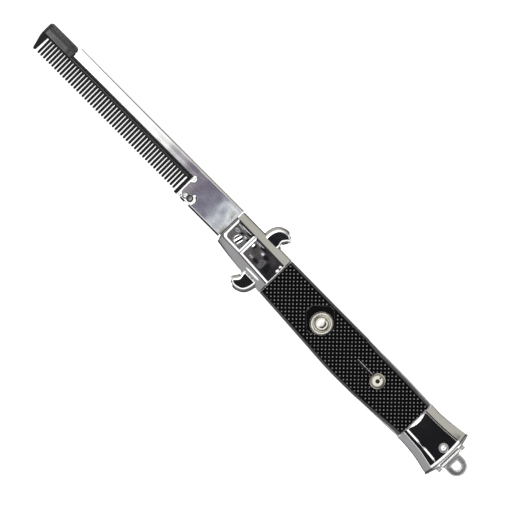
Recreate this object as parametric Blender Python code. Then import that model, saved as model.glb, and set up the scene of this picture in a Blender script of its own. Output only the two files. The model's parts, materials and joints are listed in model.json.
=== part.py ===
"""Folding comb: a flick comb that swings out of a handle shaped like a slim guarded knife.

The handle lies along X on its back, with the front and its button up (+Z). The comb is shown open:
it points to -X, its teeth to -Y, and it turns about a vertical pin above the origin.
The origin is the foot of that pin's axis, on the surface that the handle rests on.
Heights inside the functions are measured from the middle plane between the two liners.
"""

import math

import bmesh
import bpy
import numpy as np

MM = 0.001

# Handle, front to back
MIDDLE_HEIGHT = 6.5 * MM
CHANNEL_HALF = 2.2 * MM
LINER_THICKNESS = 0.8 * MM
SEAM = 0.3 * MM
PLATE_BASE = CHANNEL_HALF + LINER_THICKNESS + SEAM
PANEL_TOP = MIDDLE_HEIGHT

# Handle outline: distance along the handle, height of the spine edge, height of the mouth edge
HANDLE_EDGES = (
    (-6.4, 8.70, -6.20),
    (8.6, 8.83, -7.55),
    (19.5, 8.88, -8.18),
    (30.0, 9.00, -8.60),
    (45.0, 9.18, -9.27),
    (58.0, 9.40, -9.80),
    (75.0, 9.80, -9.35),
    (84.4, 9.78, -8.95),
    (94.0, 9.50, -8.45),
    (98.5, 9.40, -8.40),
    (105.0, 9.97, -9.00),
    (111.8, 10.95, -10.25),
)
HANDLE_FRONT = -6.4 * MM
BEYOND_HANDLE = 16 * MM
LINER_INSET = 0.25 * MM

# Spine wall, the channel and its two ends
SPINE_WALL_INNER = 6.8 * MM
SPINE_WALL_FRONT = -6.2 * MM
CHANNEL_BACK = 110.9 * MM
FRAME_BACK = 112.4 * MM

# Front bolster
BOLSTER_BACK = 19.3 * MM
BOLSTER_SIDE_TOP = 4.2 * MM
PANEL_RISE = 0.3 * MM
BOLSTER_PANEL_Y = (-3.6 * MM, 5.4 * MM)
PANEL_FRONT = -5.4 * MM
PANEL_SPLIT = 3.75 * MM
PANEL_SPLIT_WIDTH = 0.3 * MM
FRONT_END_DROP = 0.7 * MM
CORNER_CUT_START = -5.25 * MM
CORNER_CUT_SLOPE = 1.2

# Guards: one hook, about the point that the pair is symmetric round
GUARD_CENTRE = (11.1 * MM, 0.85 * MM)
GUARD_BOTTOM = PLATE_BASE + 0.1 * MM
GUARD_TOP = 5.0 * MM
HOOK_BACK_CURVE = ((-6.04, 6.0), (-6.04, 9.05), (-5.5, 11.35), (-4.35, 13.25), (-2.5, 14.4), (-0.2, 14.9),
                   (1.65, 14.15), (3.5, 12.45))
HOOK_INNER_CURVE = ((3.5, 12.45), (2.85, 11.35), (2.15, 10.3), (1.75, 9.4), (2.05, 8.6), (2.4, 8.0),
                    (2.4, 6.0))

# Scales
SCALE_FRONT_X = 19.7 * MM
SCALE_BACK_X = 94.2 * MM
SCALE_SIDE_TOP = 4.4 * MM
SCALE_TOP = 6.2 * MM
SCALE_BEVEL_WIDTH = 1.6 * MM
SCALE_INSET = 0.1 * MM
SPINE_STRIP = ((60.0, 0.1), (66.0, 0.85), (94.2, 0.85))

# Rear bolster
REAR_FRONT = 94.5 * MM
REAR_PANEL = ((95.2, 5.95, -3.75), (104.0, 6.25, -4.1), (111.2, 6.95, -4.8))
REAR_RIDGE = 111.3 * MM
REAR_END = 114.2 * MM
REAR_END_DROP = 1.6 * MM
REAR_END_RADIUS = 24.0 * MM
NOTCH_DEPTH_GAP = 0.1 * MM
NOTCH_SIDE_GAP = 0.2 * MM

# Comb, measured along the blade from the pin, and across it towards its back
LEAN = math.radians(1.15)
TEETH = 50
FIRST_TOOTH = 31.4 * MM
LAST_TOOTH = 102.9 * MM
TOOTH_ROOT = 2.95 * MM
TOOTH_TIP = -3.75 * MM
TOOTH_ROOT_HALF = 0.44 * MM
TOOTH_TIP_HALF = 0.36 * MM
TIP_ROUNDING = 0.3 * MM
COMB_THICKNESS = 1.9 * MM
COMB_START = 28.8 * MM
END_BLOCK_END = 30.2 * MM
END_BLOCK_TIP = -4.5 * MM
TONGUE_TOP = 7.6 * MM
HEAD_START = 92.7 * MM
HEAD_END = 107.1 * MM
HEAD_BACK = 8.3 * MM
HEAD_THICKNESS = 3.3 * MM
HEAD_CORNER = 1.3 * MM
HEAD_RIM = 0.35 * MM
END_TOOTH_INNER = 104.1 * MM
END_TOOTH_TIP = 105.2 * MM
END_TOOTH_HALF = 0.6 * MM
HEAD_OVERLAP = 1.0 * MM
HEAD_LIP = 0.2 * MM

# Folded sheet that holds the comb
HOLDER_START = 27.6 * MM
RICASSO_END = 28.5 * MM
HOLDER_END = 92.3 * MM
HOLDER_BACK = 9.15 * MM
HOLDER_LIP = 4.85 * MM
HOLDER_HALF = 1.65 * MM
SHEET = 0.4 * MM
RICASSO_HALF = 1.5 * MM
RICASSO_EDGE = -4.6 * MM
SHOULDER = 6.4 * MM
TANG_RADIUS = 6.0 * MM

# Pivot pin and butt rivet
PIN_RADIUS = 1.5 * MM
PIN_CLEARANCE = 0.3 * MM
PIN_HEAD_RADIUS = 2.15 * MM
PIN_HEAD_HEIGHT = 1.0 * MM
HEAD_EDGE = 0.2 * MM
BLIND_FLOOR = 1.0 * MM
RIVET_PLACE = (109.0 * MM, 1.3 * MM)
RIVET_RADIUS = 1.0 * MM
RIVET_HEAD_RADIUS = 1.9 * MM
RIVET_HEAD_HEIGHT = 0.8 * MM

# Push button
BUTTON_PLACE = (44.0 * MM, 0.6 * MM)
BUTTON_RADIUS = 4.15 * MM
BUTTON_GAP = 0.35 * MM
BUTTON_TRAVEL = 1.3 * MM
BUTTON_SHOULDER = 6.7 * MM
BUTTON_DOME = 1.9 * MM
BUTTON_STEM_RADIUS = 2.4 * MM
BUTTON_STEM_CLEARANCE = 0.3 * MM

# Safety knob, drawn at its end away from the comb
KNOB_PLACE = (73.9 * MM, 0.75 * MM)
KNOB_TRAVEL = 9.5 * MM
KNOB_RADIUS = 3.15 * MM
KNOB_EDGE = 0.7 * MM
KNOB_DOME = 1.5 * MM
KNOB_STEM = (3.0 * MM, 0.9 * MM)
SLOT_CLEARANCE = 0.3 * MM

# Bail at the butt, and the two ears that hold it
BAIL_AXIS_X = 114.0 * MM
BAIL_MIDDLE_Y = 0.5 * MM
BARREL_RADIUS = 1.05 * MM
BARREL_HALF = 4.7 * MM
TRUNNION_RADIUS = 0.45 * MM
TRUNNION_HALF = 6.4 * MM
EAR_INNER = 5.05 * MM
EAR_THICKNESS = 1.7 * MM
EAR_RADIUS = 1.15 * MM
EAR_HOLE = 0.75 * MM
LOOP_HALF_WIDTH = 3.95 * MM
LOOP_HOLE_HALF = 1.8 * MM
LOOP_CENTRE_X = 117.75 * MM
LOOP_HOLE_START = 116.1 * MM
LOOP_THICKNESS = 1.2 * MM
LOOP_ROOT = 0.3 * MM
LOOP_BEVEL = 0.25 * MM

ROUND_STEPS = 32
SHARP_ANGLE = math.radians(35)

# Colour, metallic and roughness of each finish
FINISHES = {
    "black_comb_plastic": ((0.012, 0.012, 0.013), 0.0, 0.3),
    "black_grip_plastic": ((0.018, 0.018, 0.019), 0.0, 0.42),
    "bright_chrome": ((0.82, 0.82, 0.83), 1.0, 0.08),
    "steel_liner": ((0.62, 0.61, 0.60), 1.0, 0.28),
    "warm_nickel": ((0.78, 0.74, 0.66), 1.0, 0.12),
}


def clear_scene():
    """Removes whatever the file holds."""
    for thing in list(bpy.data.objects):
        bpy.data.objects.remove(thing, do_unlink=True)


def make_finishes():
    """One Principled material for each finish in the table."""
    made = {}
    for name, (colour, metallic, roughness) in FINISHES.items():
        material = bpy.data.materials.new(name)
        material.use_nodes = True
        shader = material.node_tree.nodes["Principled BSDF"]
        shader.inputs["Base Color"].default_value = (*colour, 1.0)
        shader.inputs["Metallic"].default_value = metallic
        shader.inputs["Roughness"].default_value = roughness
        made[name] = material
    return made


def add_object(name, shape, finish, parent):
    """Turns a bmesh into a named object with outward faces, under its parent."""
    bmesh.ops.recalc_face_normals(shape, faces=shape.faces)
    mesh = bpy.data.meshes.new(name)
    shape.to_mesh(mesh)
    shape.free()
    mesh.shade_smooth()
    mesh.set_sharp_from_angle(angle=SHARP_ANGLE)
    made = bpy.data.objects.new(name, mesh)
    bpy.context.collection.objects.link(made)
    made.parent = parent
    if finish is not None:
        # Each piece has a material of its own, copied from its finish
        material = finish.copy()
        material.name = name
        mesh.materials.append(material)
    return made


def add_axis(name, place, parent=None, turn=0.0):
    """An empty on a joint's axis, turned about Z."""
    empty = bpy.data.objects.new(name, None)
    empty.location = place
    empty.rotation_euler = (0.0, 0.0, turn)
    empty.parent = parent
    bpy.context.collection.objects.link(empty)
    return empty


def combine(target, name, shape, operation, place=(0.0, 0.0, 0.0)):
    """Cuts, joins or intersects a piece with a shape, kept as a hidden tool beside it."""
    tool = add_object(name, shape, None, target.parent)
    tool.location = place
    tool.hide_render = True
    tool.display_type = "WIRE"
    step = target.modifiers.new(tool.name, "BOOLEAN")
    step.operation = operation
    step.solver = "EXACT"
    step.object = tool
    return tool


def soften(piece, width):
    """Rounds a piece's square edges."""
    bevel = piece.modifiers.new("soft_edges", "BEVEL")
    bevel.width = width
    bevel.segments = 2
    bevel.limit_method = "ANGLE"
    bevel.angle_limit = math.radians(60)


def loft(rings):
    """Skins rings of equal point counts into one closed shape with a flat cap at each end."""
    shape = bmesh.new()
    rows = [[shape.verts.new(point) for point in ring] for ring in rings]
    count = len(rows[0])
    for row, following in zip(rows, rows[1:]):
        for i in range(count):
            j = (i + 1) % count
            shape.faces.new((row[i], row[j], following[j], following[i]))
    shape.faces.new(rows[0])
    shape.faces.new(rows[-1])
    return shape


def prism(outline, low, high):
    """An outline in plan, raised from one height to another."""
    return loft([[(x, y, z) for x, y in outline] for z in (low, high)])


def turned(profile, steps=ROUND_STEPS):
    """Spins a profile of (radius, height) points, whose ends are on the axis, about Z."""
    shape = bmesh.new()
    points = [shape.verts.new((radius, 0.0, height)) for radius, height in profile]
    edges = [shape.edges.new(pair) for pair in zip(points, points[1:])]
    bmesh.ops.spin(shape, geom=points + edges, axis=(0, 0, 1), cent=(0, 0, 0), angle=math.tau, steps=steps,
                   use_duplicate=False)
    bmesh.ops.remove_doubles(shape, verts=shape.verts, dist=1e-7)
    return shape


def arc(centre, radius, start, end, steps):
    """Points along a circular arc, with the angles in degrees."""
    angles = np.radians(np.linspace(start, end, steps + 1))
    return [(centre[0] + radius * math.cos(a), centre[1] + radius * math.sin(a)) for a in angles]


def smooth_through(points, steps=4):
    """A Catmull-Rom curve through the points, with its ends kept."""
    given = np.array(points, dtype=float)
    padded = np.vstack((2 * given[0] - given[1], given, 2 * given[-1] - given[-2]))
    curve = []
    for before, a, b, after in zip(padded, padded[1:], padded[2:], padded[3:]):
        for t in np.arange(steps) / steps:
            curve.append(0.5 * (2 * a + (b - before) * t + (2 * before - 5 * a + 4 * b - after) * t**2
                                + (3 * a - before - 3 * b + after) * t**3))
    curve.append(given[-1])
    return [tuple(point) for point in curve]


def column(table, which):
    """One column of a table in millimetres, in metres."""
    return np.array([row[which] for row in table]) * MM


def handle_edges():
    """The smooth spine edge and mouth edge of the handle, as two rows of points."""
    spine = smooth_through([(x * MM, top * MM) for x, top, low in HANDLE_EDGES], 3)
    mouth = smooth_through([(x * MM, low * MM) for x, top, low in HANDLE_EDGES], 3)
    return spine, mouth


def edge_at(row, x):
    """Height of an edge at a distance along the handle."""
    return np.interp(x, [point[0] for point in row], [point[1] for point in row])


def stations(start, end, spacing, extra=()):
    """Distances along the handle from start to end, with the extra ones put in."""
    even = np.linspace(start, end, max(2, round((end - start) / spacing) + 1))
    kept = [x for x in even if all(abs(x - other) > 0.2 * MM for other in extra)]
    return sorted(set(kept) | set(extra))


def plate_rings(places, section, side):
    """Rings of a plate whose section is given at each place; side is 1 for the front, -1 for the back."""
    return [[(x, y, z * side) for y, z in section(x)] for x in places]


def liner_outline():
    """Plan of the liners: the handle's outline, a little smaller, with a square back end."""
    spine, mouth = handle_edges()
    places = stations(HANDLE_FRONT + LINER_INSET, FRAME_BACK, 6 * MM)
    upper = [(x, float(edge_at(spine, x)) - LINER_INSET) for x in places]
    lower = [(x, float(edge_at(mouth, x)) + LINER_INSET) for x in places]
    return upper + lower[::-1]


def channel_outline():
    """Plan of the hollow between the liners: open at the front end and all along the mouth."""
    far = BEYOND_HANDLE
    return [(-far, -far), (-far, far), (SPINE_WALL_FRONT, far), (SPINE_WALL_FRONT, SPINE_WALL_INNER),
            (CHANNEL_BACK, SPINE_WALL_INNER), (CHANNEL_BACK, -far)]


def ear_shape(side):
    """One ear behind the frame: a bar with a round end about the bail's axis."""
    near = BAIL_MIDDLE_Y + side * EAR_INNER
    away = near + side * EAR_THICKNESS
    profile = [(FRAME_BACK - MM, -EAR_RADIUS), *arc((BAIL_AXIS_X, 0.0), EAR_RADIUS, -90, 90, 10),
               (FRAME_BACK - MM, EAR_RADIUS)]
    return loft([[(x, y, z) for x, z in profile] for y in (near, away)])


def cross_bar(radius, half_length, steps=16):
    """A round bar along Y on the bail's axis."""
    circle = arc((0.0, 0.0), radius, 0, 360 - 360 / steps, steps - 1)
    ends = (BAIL_MIDDLE_Y - half_length, BAIL_MIDDLE_Y + half_length)
    return loft([[(x, y, z) for x, z in circle] for y in ends])


def round_bar(place, radius, low, high, steps=ROUND_STEPS):
    """A round bar along Z."""
    return prism(arc(place, radius, 0, 360 - 360 / steps, steps - 1), low, high)


def make_frame(finish, parent):
    """The channel: two liners, the spine wall between them, the end wall and the bail's ears."""
    outer = CHANNEL_HALF + LINER_THICKNESS
    frame = add_object("frame", prism(liner_outline(), -outer, outer), finish, parent)
    combine(frame, "channel_cut", prism(channel_outline(), -CHANNEL_HALF, CHANNEL_HALF), "DIFFERENCE")
    for side in (-1, 1):
        combine(frame, f"ear_shape_{side}", ear_shape(side), "UNION")
    stem_hole = BUTTON_STEM_RADIUS + BUTTON_STEM_CLEARANCE
    holes = {
        "liner_pin_hole": round_bar((0.0, 0.0), PIN_RADIUS + PIN_CLEARANCE, -2 * outer, 2 * outer, 20),
        "liner_rivet_hole": round_bar(RIVET_PLACE, RIVET_RADIUS + PIN_CLEARANCE, -2 * outer, 2 * outer, 16),
        "liner_stem_hole": round_bar(BUTTON_PLACE, stem_hole, 0.0, 2 * outer, 20),
    }
    for name, shape in holes.items():
        combine(frame, name, shape, "DIFFERENCE")
    trunnion_hole = cross_bar(EAR_HOLE, 2 * TRUNNION_HALF, 12)
    combine(frame, "trunnion_hole", trunnion_hole, "DIFFERENCE", (BAIL_AXIS_X, 0.0, 0.0))


def hook_outline(sign):
    """One hooked guard in plan; the other one is the same, turned half round the guards' centre."""
    curve = smooth_through(HOOK_BACK_CURVE) + smooth_through(HOOK_INNER_CURVE)[1:]
    return [(GUARD_CENTRE[0] + sign * x * MM, GUARD_CENTRE[1] + sign * y * MM) for x, y in curve]


def plate_section(edges, panel, shoulder, rise):
    """Section of a bolster: low upright sides, a sloping band on each side and a panel between them."""
    (low, top), (panel_low, panel_top) = edges, panel
    return [(low, PLATE_BASE), (low, BOLSTER_SIDE_TOP), (panel_low, shoulder),
            (panel_low + PANEL_RISE, shoulder + rise), (panel_top - PANEL_RISE, shoulder + rise),
            (panel_top, shoulder), (top, BOLSTER_SIDE_TOP), (top, PLATE_BASE)]


def panel_corners():
    """Where the bolster's two panels start and stop rising, along the handle."""
    near = PANEL_SPLIT - PANEL_SPLIT_WIDTH / 2
    far = PANEL_SPLIT + PANEL_SPLIT_WIDTH / 2
    return (PANEL_FRONT, PANEL_FRONT + PANEL_RISE, near - PANEL_RISE, near, far, far + PANEL_RISE,
            BOLSTER_BACK - PANEL_RISE, BOLSTER_BACK)


def panel_rise_at(x):
    """Height of the raised panels above their shoulders at a distance along the bolster."""
    rises = (0.0, PANEL_RISE, PANEL_RISE, 0.0, 0.0, PANEL_RISE, PANEL_RISE, 0.0)
    return float(np.interp(x, panel_corners(), rises))


def bolster_section(x):
    """Section of the front bolster at a distance along the handle."""
    spine, mouth = handle_edges()
    top = float(edge_at(spine, x))
    low = float(edge_at(mouth, x)) + max(0.0, CORNER_CUT_START - x) * CORNER_CUT_SLOPE
    drop = FRONT_END_DROP * max(0.0, PANEL_FRONT - x) / (PANEL_FRONT - HANDLE_FRONT)
    return plate_section((low, top), BOLSTER_PANEL_Y, PANEL_TOP - PANEL_RISE - drop, panel_rise_at(x))


def make_bolster(name, side, finish, parent):
    """Chrome plate at the pivot end, with its half of both hooked guards."""
    places = stations(HANDLE_FRONT, BOLSTER_BACK, 4 * MM, panel_corners())
    bolster = add_object(name, loft(plate_rings(places, bolster_section, side)), finish, parent)
    for sign in (-1, 1):
        guard = prism(hook_outline(sign), side * GUARD_BOTTOM, side * GUARD_TOP)
        combine(bolster, f"{name}_hook_{sign}", guard, "UNION")
    reach = 2 * PANEL_TOP if side > 0 else PANEL_TOP - BLIND_FLOOR
    hole = round_bar((0.0, 0.0), PIN_RADIUS + PIN_CLEARANCE, 0.0, side * reach)
    combine(bolster, f"{name}_pin_hole", hole, "DIFFERENCE")


def scale_section(x):
    """Section of a grip scale: a flat top with a bevel down each side."""
    spine, mouth = handle_edges()
    strip = float(np.interp(x, column(SPINE_STRIP, 0), column(SPINE_STRIP, 1)))
    top = float(edge_at(spine, x)) - strip
    low = float(edge_at(mouth, x)) + SCALE_INSET
    inset = SCALE_BEVEL_WIDTH - strip
    return [(low, PLATE_BASE), (low, SCALE_SIDE_TOP), (low + SCALE_BEVEL_WIDTH, SCALE_TOP),
            (top - inset, SCALE_TOP), (top, SCALE_SIDE_TOP), (top, PLATE_BASE)]


def slot_outline():
    """Plan of the slot that the safety knob's stem runs in."""
    half_long = KNOB_STEM[0] / 2 + SLOT_CLEARANCE
    half_wide = KNOB_STEM[1] / 2 + SLOT_CLEARANCE
    left = KNOB_PLACE[0] - KNOB_TRAVEL - half_long
    right = KNOB_PLACE[0] + half_long
    low, high = KNOB_PLACE[1] - half_wide, KNOB_PLACE[1] + half_wide
    return [(left, low), (right, low), (right, high), (left, high)]


def make_scale(name, side, finish, parent):
    """Black grip plate; the front one has the button's hole and the knob's slot."""
    places = stations(SCALE_FRONT_X, SCALE_BACK_X, 5 * MM, (60.0 * MM, 66.0 * MM))
    scale = add_object(name, loft(plate_rings(places, scale_section, side)), finish, parent)
    if side > 0:
        hole = round_bar(BUTTON_PLACE, BUTTON_RADIUS + BUTTON_GAP, 0.0, 2 * SCALE_TOP)
        combine(scale, "button_hole", hole, "DIFFERENCE")
        combine(scale, "knob_slot", prism(slot_outline(), 0.0, 2 * SCALE_TOP), "DIFFERENCE")


def rear_section(x):
    """Section of the rear bolster, which falls away behind the ridge."""
    spine, mouth = handle_edges()
    top = float(edge_at(spine, x))
    low = float(edge_at(mouth, x))
    drop = REAR_END_DROP * max(0.0, x - REAR_RIDGE) / (REAR_END - REAR_RIDGE)
    start = column(REAR_PANEL, 0)[0]
    rise = float(np.interp(x, (start, start + PANEL_RISE), (0.0, PANEL_RISE)))
    panel_top = float(np.interp(x, column(REAR_PANEL, 0), column(REAR_PANEL, 1)))
    panel_low = float(np.interp(x, column(REAR_PANEL, 0), column(REAR_PANEL, 2)))
    return plate_section((low, top), (panel_low, panel_top), PANEL_TOP - PANEL_RISE - drop, rise)


def rear_end_outline():
    """Plan that trims the rear bolster: a slightly domed end with a notch for the bail's barrel."""
    start = REAR_FRONT - BEYOND_HANDLE
    centre = REAR_END - REAR_END_RADIUS
    notch_back = FRAME_BACK + NOTCH_DEPTH_GAP
    notch_half = EAR_INNER + NOTCH_SIDE_GAP
    reach = REAR_END_RADIUS / 2
    low_y, high_y = BAIL_MIDDLE_Y - notch_half, BAIL_MIDDLE_Y + notch_half

    def end_x(y):
        """The domed end's distance along the handle at a height across it."""
        return centre + math.sqrt(REAR_END_RADIUS**2 - (y - BAIL_MIDDLE_Y)**2)

    low_side = [(end_x(y), y) for y in np.linspace(-reach, low_y, 6)]
    high_side = [(end_x(y), y) for y in np.linspace(high_y, reach, 6)]
    return [(start, -reach), *low_side, (notch_back, low_y), (notch_back, high_y), *high_side, (start, reach)]


def make_rear_bolster(name, side, finish, parent):
    """Flared chrome cap at the butt."""
    start = float(column(REAR_PANEL, 0)[0])
    places = stations(REAR_FRONT, REAR_END + MM, 2.5 * MM, (start, start + PANEL_RISE, REAR_RIDGE))
    bolster = add_object(name, loft(plate_rings(places, rear_section, side)), finish, parent)
    trim = prism(rear_end_outline(), side * 0.5 * PLATE_BASE, side * 2 * PANEL_TOP)
    combine(bolster, f"{name}_trim", trim, "INTERSECT")
    reach = 2 * PANEL_TOP if side > 0 else PANEL_TOP - BLIND_FLOOR
    hole = round_bar(RIVET_PLACE, RIVET_RADIUS + PIN_CLEARANCE, 0.0, side * reach, 16)
    combine(bolster, f"{name}_rivet_hole", hole, "DIFFERENCE")


def headed_pin(radius, head_radius, head_height):
    """Profile of a pin with a low domed head on the front panel and a blind end in the back plate."""
    foot = -(PANEL_TOP - BLIND_FLOOR - PIN_CLEARANCE)
    seat = PANEL_TOP + SEAM
    dome = [(head_radius * math.cos(a), seat + HEAD_EDGE + head_height * math.sin(a))
            for a in np.radians(np.linspace(0, 90, 7))]
    return [(0.0, foot), (radius, foot), (radius, seat), (head_radius, seat), *dome[:-1],
            (0.0, seat + HEAD_EDGE + head_height)]


def make_pins(finish, parent):
    """The pivot pin and the butt rivet."""
    pin = turned(headed_pin(PIN_RADIUS, PIN_HEAD_RADIUS, PIN_HEAD_HEIGHT), 24)
    add_object("pivot_pin", pin, finish, parent)
    rivet = turned(headed_pin(RIVET_RADIUS, RIVET_HEAD_RADIUS, RIVET_HEAD_HEIGHT), 20)
    add_object("butt_rivet", rivet, finish, parent).location = (*RIVET_PLACE, 0.0)


def make_button(finish, parent):
    """Round push button: a domed cap in the scale's hole and a stem over the liner's hole."""
    base = CHANNEL_HALF + LINER_THICKNESS + SEAM + BUTTON_TRAVEL
    stem = CHANNEL_HALF + BUTTON_TRAVEL
    dome = [(BUTTON_RADIUS * math.cos(a), BUTTON_SHOULDER + BUTTON_DOME * math.sin(a))
            for a in np.radians(np.linspace(0, 90, 8))]
    profile = [(0.0, stem), (BUTTON_STEM_RADIUS, stem), (BUTTON_STEM_RADIUS, base), (BUTTON_RADIUS, base),
               *dome[:-1], (0.0, BUTTON_SHOULDER + BUTTON_DOME)]
    add_object("push_button", turned(profile), finish, parent).location = (*BUTTON_PLACE, 0.0)


def make_knob(finish, parent):
    """Safety knob: a domed cap over the scale with a flat stem in the slot."""
    seat = SCALE_TOP + SEAM
    dome = [(KNOB_RADIUS * math.cos(a), seat + KNOB_EDGE + KNOB_DOME * math.sin(a))
            for a in np.radians(np.linspace(0, 90, 7))]
    profile = [(0.0, seat), (KNOB_RADIUS, seat), *dome[:-1], (0.0, seat + KNOB_EDGE + KNOB_DOME)]
    knob = add_object("safety_knob", turned(profile, 28), finish, parent)
    half_long, half_wide = KNOB_STEM[0] / 2, KNOB_STEM[1] / 2
    plan = [(-half_long, -half_wide), (half_long, -half_wide), (half_long, half_wide),
            (-half_long, half_wide)]
    knob.location = (*KNOB_PLACE, 0.0)
    combine(knob, "knob_stem", prism(plan, PLATE_BASE, seat + KNOB_EDGE / 2), "UNION", knob.location)


def make_bail(finish, parent):
    """The butt's loop: a flat D with a hole, on a barrel whose thin ends turn in the ears."""
    x = LOOP_CENTRE_X - BAIL_AXIS_X
    outer = [(LOOP_ROOT, BAIL_MIDDLE_Y - LOOP_HALF_WIDTH),
             *arc((x, BAIL_MIDDLE_Y), LOOP_HALF_WIDTH, -90, 90, 18),
             (LOOP_ROOT, BAIL_MIDDLE_Y + LOOP_HALF_WIDTH)]
    hole = [(LOOP_HOLE_START - BAIL_AXIS_X, BAIL_MIDDLE_Y - LOOP_HOLE_HALF),
            *arc((x, BAIL_MIDDLE_Y), LOOP_HOLE_HALF, -90, 90, 12),
            (LOOP_HOLE_START - BAIL_AXIS_X, BAIL_MIDDLE_Y + LOOP_HOLE_HALF)]
    half = LOOP_THICKNESS / 2
    bail = add_object("bail", prism(outer, -half, half), finish, parent)
    combine(bail, "bail_hole", prism(hole, -2 * half, 2 * half), "DIFFERENCE")
    soften(bail, LOOP_BEVEL)
    combine(bail, "barrel", cross_bar(BARREL_RADIUS, BARREL_HALF), "UNION")
    combine(bail, "trunnions", cross_bar(TRUNNION_RADIUS, TRUNNION_HALF, 12), "UNION")


def blade_points(points):
    """Turns (distance from the pin, height towards the back) into X and Y; the blade points to -X."""
    return [(-along, across) for along, across in points]


def tooth_points(centre):
    """One tooth, drawn from its head side to its pivot side, with a rounded tip."""
    return [(centre + TOOTH_ROOT_HALF, TOOTH_ROOT), (centre + TOOTH_TIP_HALF, TOOTH_TIP + TIP_ROUNDING),
            (centre + 0.5 * TOOTH_TIP_HALF, TOOTH_TIP), (centre - 0.5 * TOOTH_TIP_HALF, TOOTH_TIP),
            (centre - TOOTH_TIP_HALF, TOOTH_TIP + TIP_ROUNDING), (centre - TOOTH_ROOT_HALF, TOOTH_ROOT)]


def comb_outline():
    """Plan of the thin comb: the hidden tongue, the end tooth, the row of teeth and the end block."""
    outline = [(COMB_START, TONGUE_TOP), (HEAD_END - HEAD_OVERLAP, TONGUE_TOP),
               (HEAD_END - HEAD_LIP, TOOTH_ROOT + HEAD_OVERLAP),
               (END_TOOTH_TIP + END_TOOTH_HALF, TOOTH_TIP + TIP_ROUNDING),
               (END_TOOTH_TIP + END_TOOTH_HALF / 2, TOOTH_TIP),
               (END_TOOTH_TIP - END_TOOTH_HALF / 2, TOOTH_TIP),
               (END_TOOTH_TIP - END_TOOTH_HALF, TOOTH_TIP + TIP_ROUNDING), (END_TOOTH_INNER, TOOTH_ROOT)]
    for centre in np.linspace(LAST_TOOTH, FIRST_TOOTH, TEETH):
        outline += tooth_points(float(centre))
    outline += [(END_BLOCK_END, TOOTH_ROOT), (END_BLOCK_END, END_BLOCK_TIP + TIP_ROUNDING),
                (END_BLOCK_END - TIP_ROUNDING, END_BLOCK_TIP), (COMB_START, END_BLOCK_TIP)]
    return blade_points(outline)


def head_outline():
    """Plan of the thicker head, with rounded back corners and a slanted end."""
    back_corner = (HEAD_END - HEAD_CORNER, HEAD_BACK - HEAD_CORNER)
    near_corner = (HEAD_START + HEAD_CORNER, HEAD_BACK - HEAD_CORNER)
    low = TOOTH_ROOT + HEAD_LIP
    return blade_points([(HEAD_START, low), *arc(near_corner, HEAD_CORNER, 180, 90, 5),
                         *arc(back_corner, HEAD_CORNER, 90, 0, 5), (HEAD_END, low)])


def make_comb(finish, parent):
    """The black comb: thin teeth and tongue, and a thicker head with a soft rim."""
    half = COMB_THICKNESS / 2
    comb = add_object("comb", prism(comb_outline(), -half, half), finish, parent)
    head = prism(head_outline(), -HEAD_THICKNESS / 2, HEAD_THICKNESS / 2)
    soften(combine(comb, "head_block", head, "UNION"), HEAD_RIM)


def ricasso_outline():
    """Plan of the flat ricasso and of the tang, whose end is round about the pin."""
    low_angle = 180 - math.degrees(math.asin(RICASSO_EDGE / TANG_RADIUS))
    return blade_points([(RICASSO_END, HOLDER_BACK), (SHOULDER, HOLDER_BACK), (SHOULDER, TANG_RADIUS),
                         *arc((0.0, 0.0), TANG_RADIUS, 90, low_angle, 18), (RICASSO_END, RICASSO_EDGE)])


def fold_section():
    """Section of the folded sheet: a deep U with a round back, open towards the teeth."""
    outer_centre = (HOLDER_BACK - HOLDER_HALF, 0.0)
    inner_half = HOLDER_HALF - SHEET
    inner_centre = (HOLDER_BACK - HOLDER_HALF - SHEET / 4, 0.0)
    return [(HOLDER_LIP, -HOLDER_HALF), *arc(outer_centre, HOLDER_HALF, -90, 90, 10),
            (HOLDER_LIP, HOLDER_HALF), (HOLDER_LIP, inner_half),
            *arc(inner_centre, inner_half, 90, -90, 8), (HOLDER_LIP, -inner_half)]


def make_holder(finish, parent):
    """Chrome sheet folded round the comb's back, and the flat ricasso that turns on the pin."""
    holder = add_object("comb_holder", prism(ricasso_outline(), -RICASSO_HALF, RICASSO_HALF), finish, parent)
    fold = loft([[(-along, y, z) for y, z in fold_section()] for along in (HOLDER_START, HOLDER_END)])
    combine(holder, "fold", fold, "UNION")
    hole = round_bar((0.0, 0.0), PIN_RADIUS + PIN_CLEARANCE, -HOLDER_HALF * 2, HOLDER_HALF * 2, 24)
    combine(holder, "tang_hole", hole, "DIFFERENCE")


def main():
    clear_scene()
    finish = make_finishes()
    handle = add_axis("handle_middle", (0.0, 0.0, MIDDLE_HEIGHT))
    blade = add_axis("comb_axis", (0.0, 0.0, MIDDLE_HEIGHT), turn=LEAN)
    bail_axis = add_axis("bail_axis", (BAIL_AXIS_X, 0.0, MIDDLE_HEIGHT))
    make_frame(finish["steel_liner"], handle)
    for name, side in (("front_bolster", 1), ("back_bolster", -1)):
        make_bolster(name, side, finish["bright_chrome"], handle)
    for name, side in (("scale_front", 1), ("scale_back", -1)):
        make_scale(name, side, finish["black_grip_plastic"], handle)
    for name, side in (("rear_bolster_front", 1), ("rear_bolster_back", -1)):
        make_rear_bolster(name, side, finish["bright_chrome"], handle)
    make_pins(finish["bright_chrome"], handle)
    make_button(finish["warm_nickel"], handle)
    make_knob(finish["warm_nickel"], handle)
    make_bail(finish["bright_chrome"], bail_axis)
    make_comb(finish["black_comb_plastic"], blade)
    make_holder(finish["bright_chrome"], blade)


main()
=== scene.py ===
"""Folding comb: the finish of every surface, laid out as an add-on and run as a script.

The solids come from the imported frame. New pieces are surfaces worked out on grids, in metres,
in the same place as the solids: the handle lies along X, the front faces up, the comb points to -X.
Inside the shape functions a height is measured from the middle plane between the two liners.
"""

import json
import math

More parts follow.
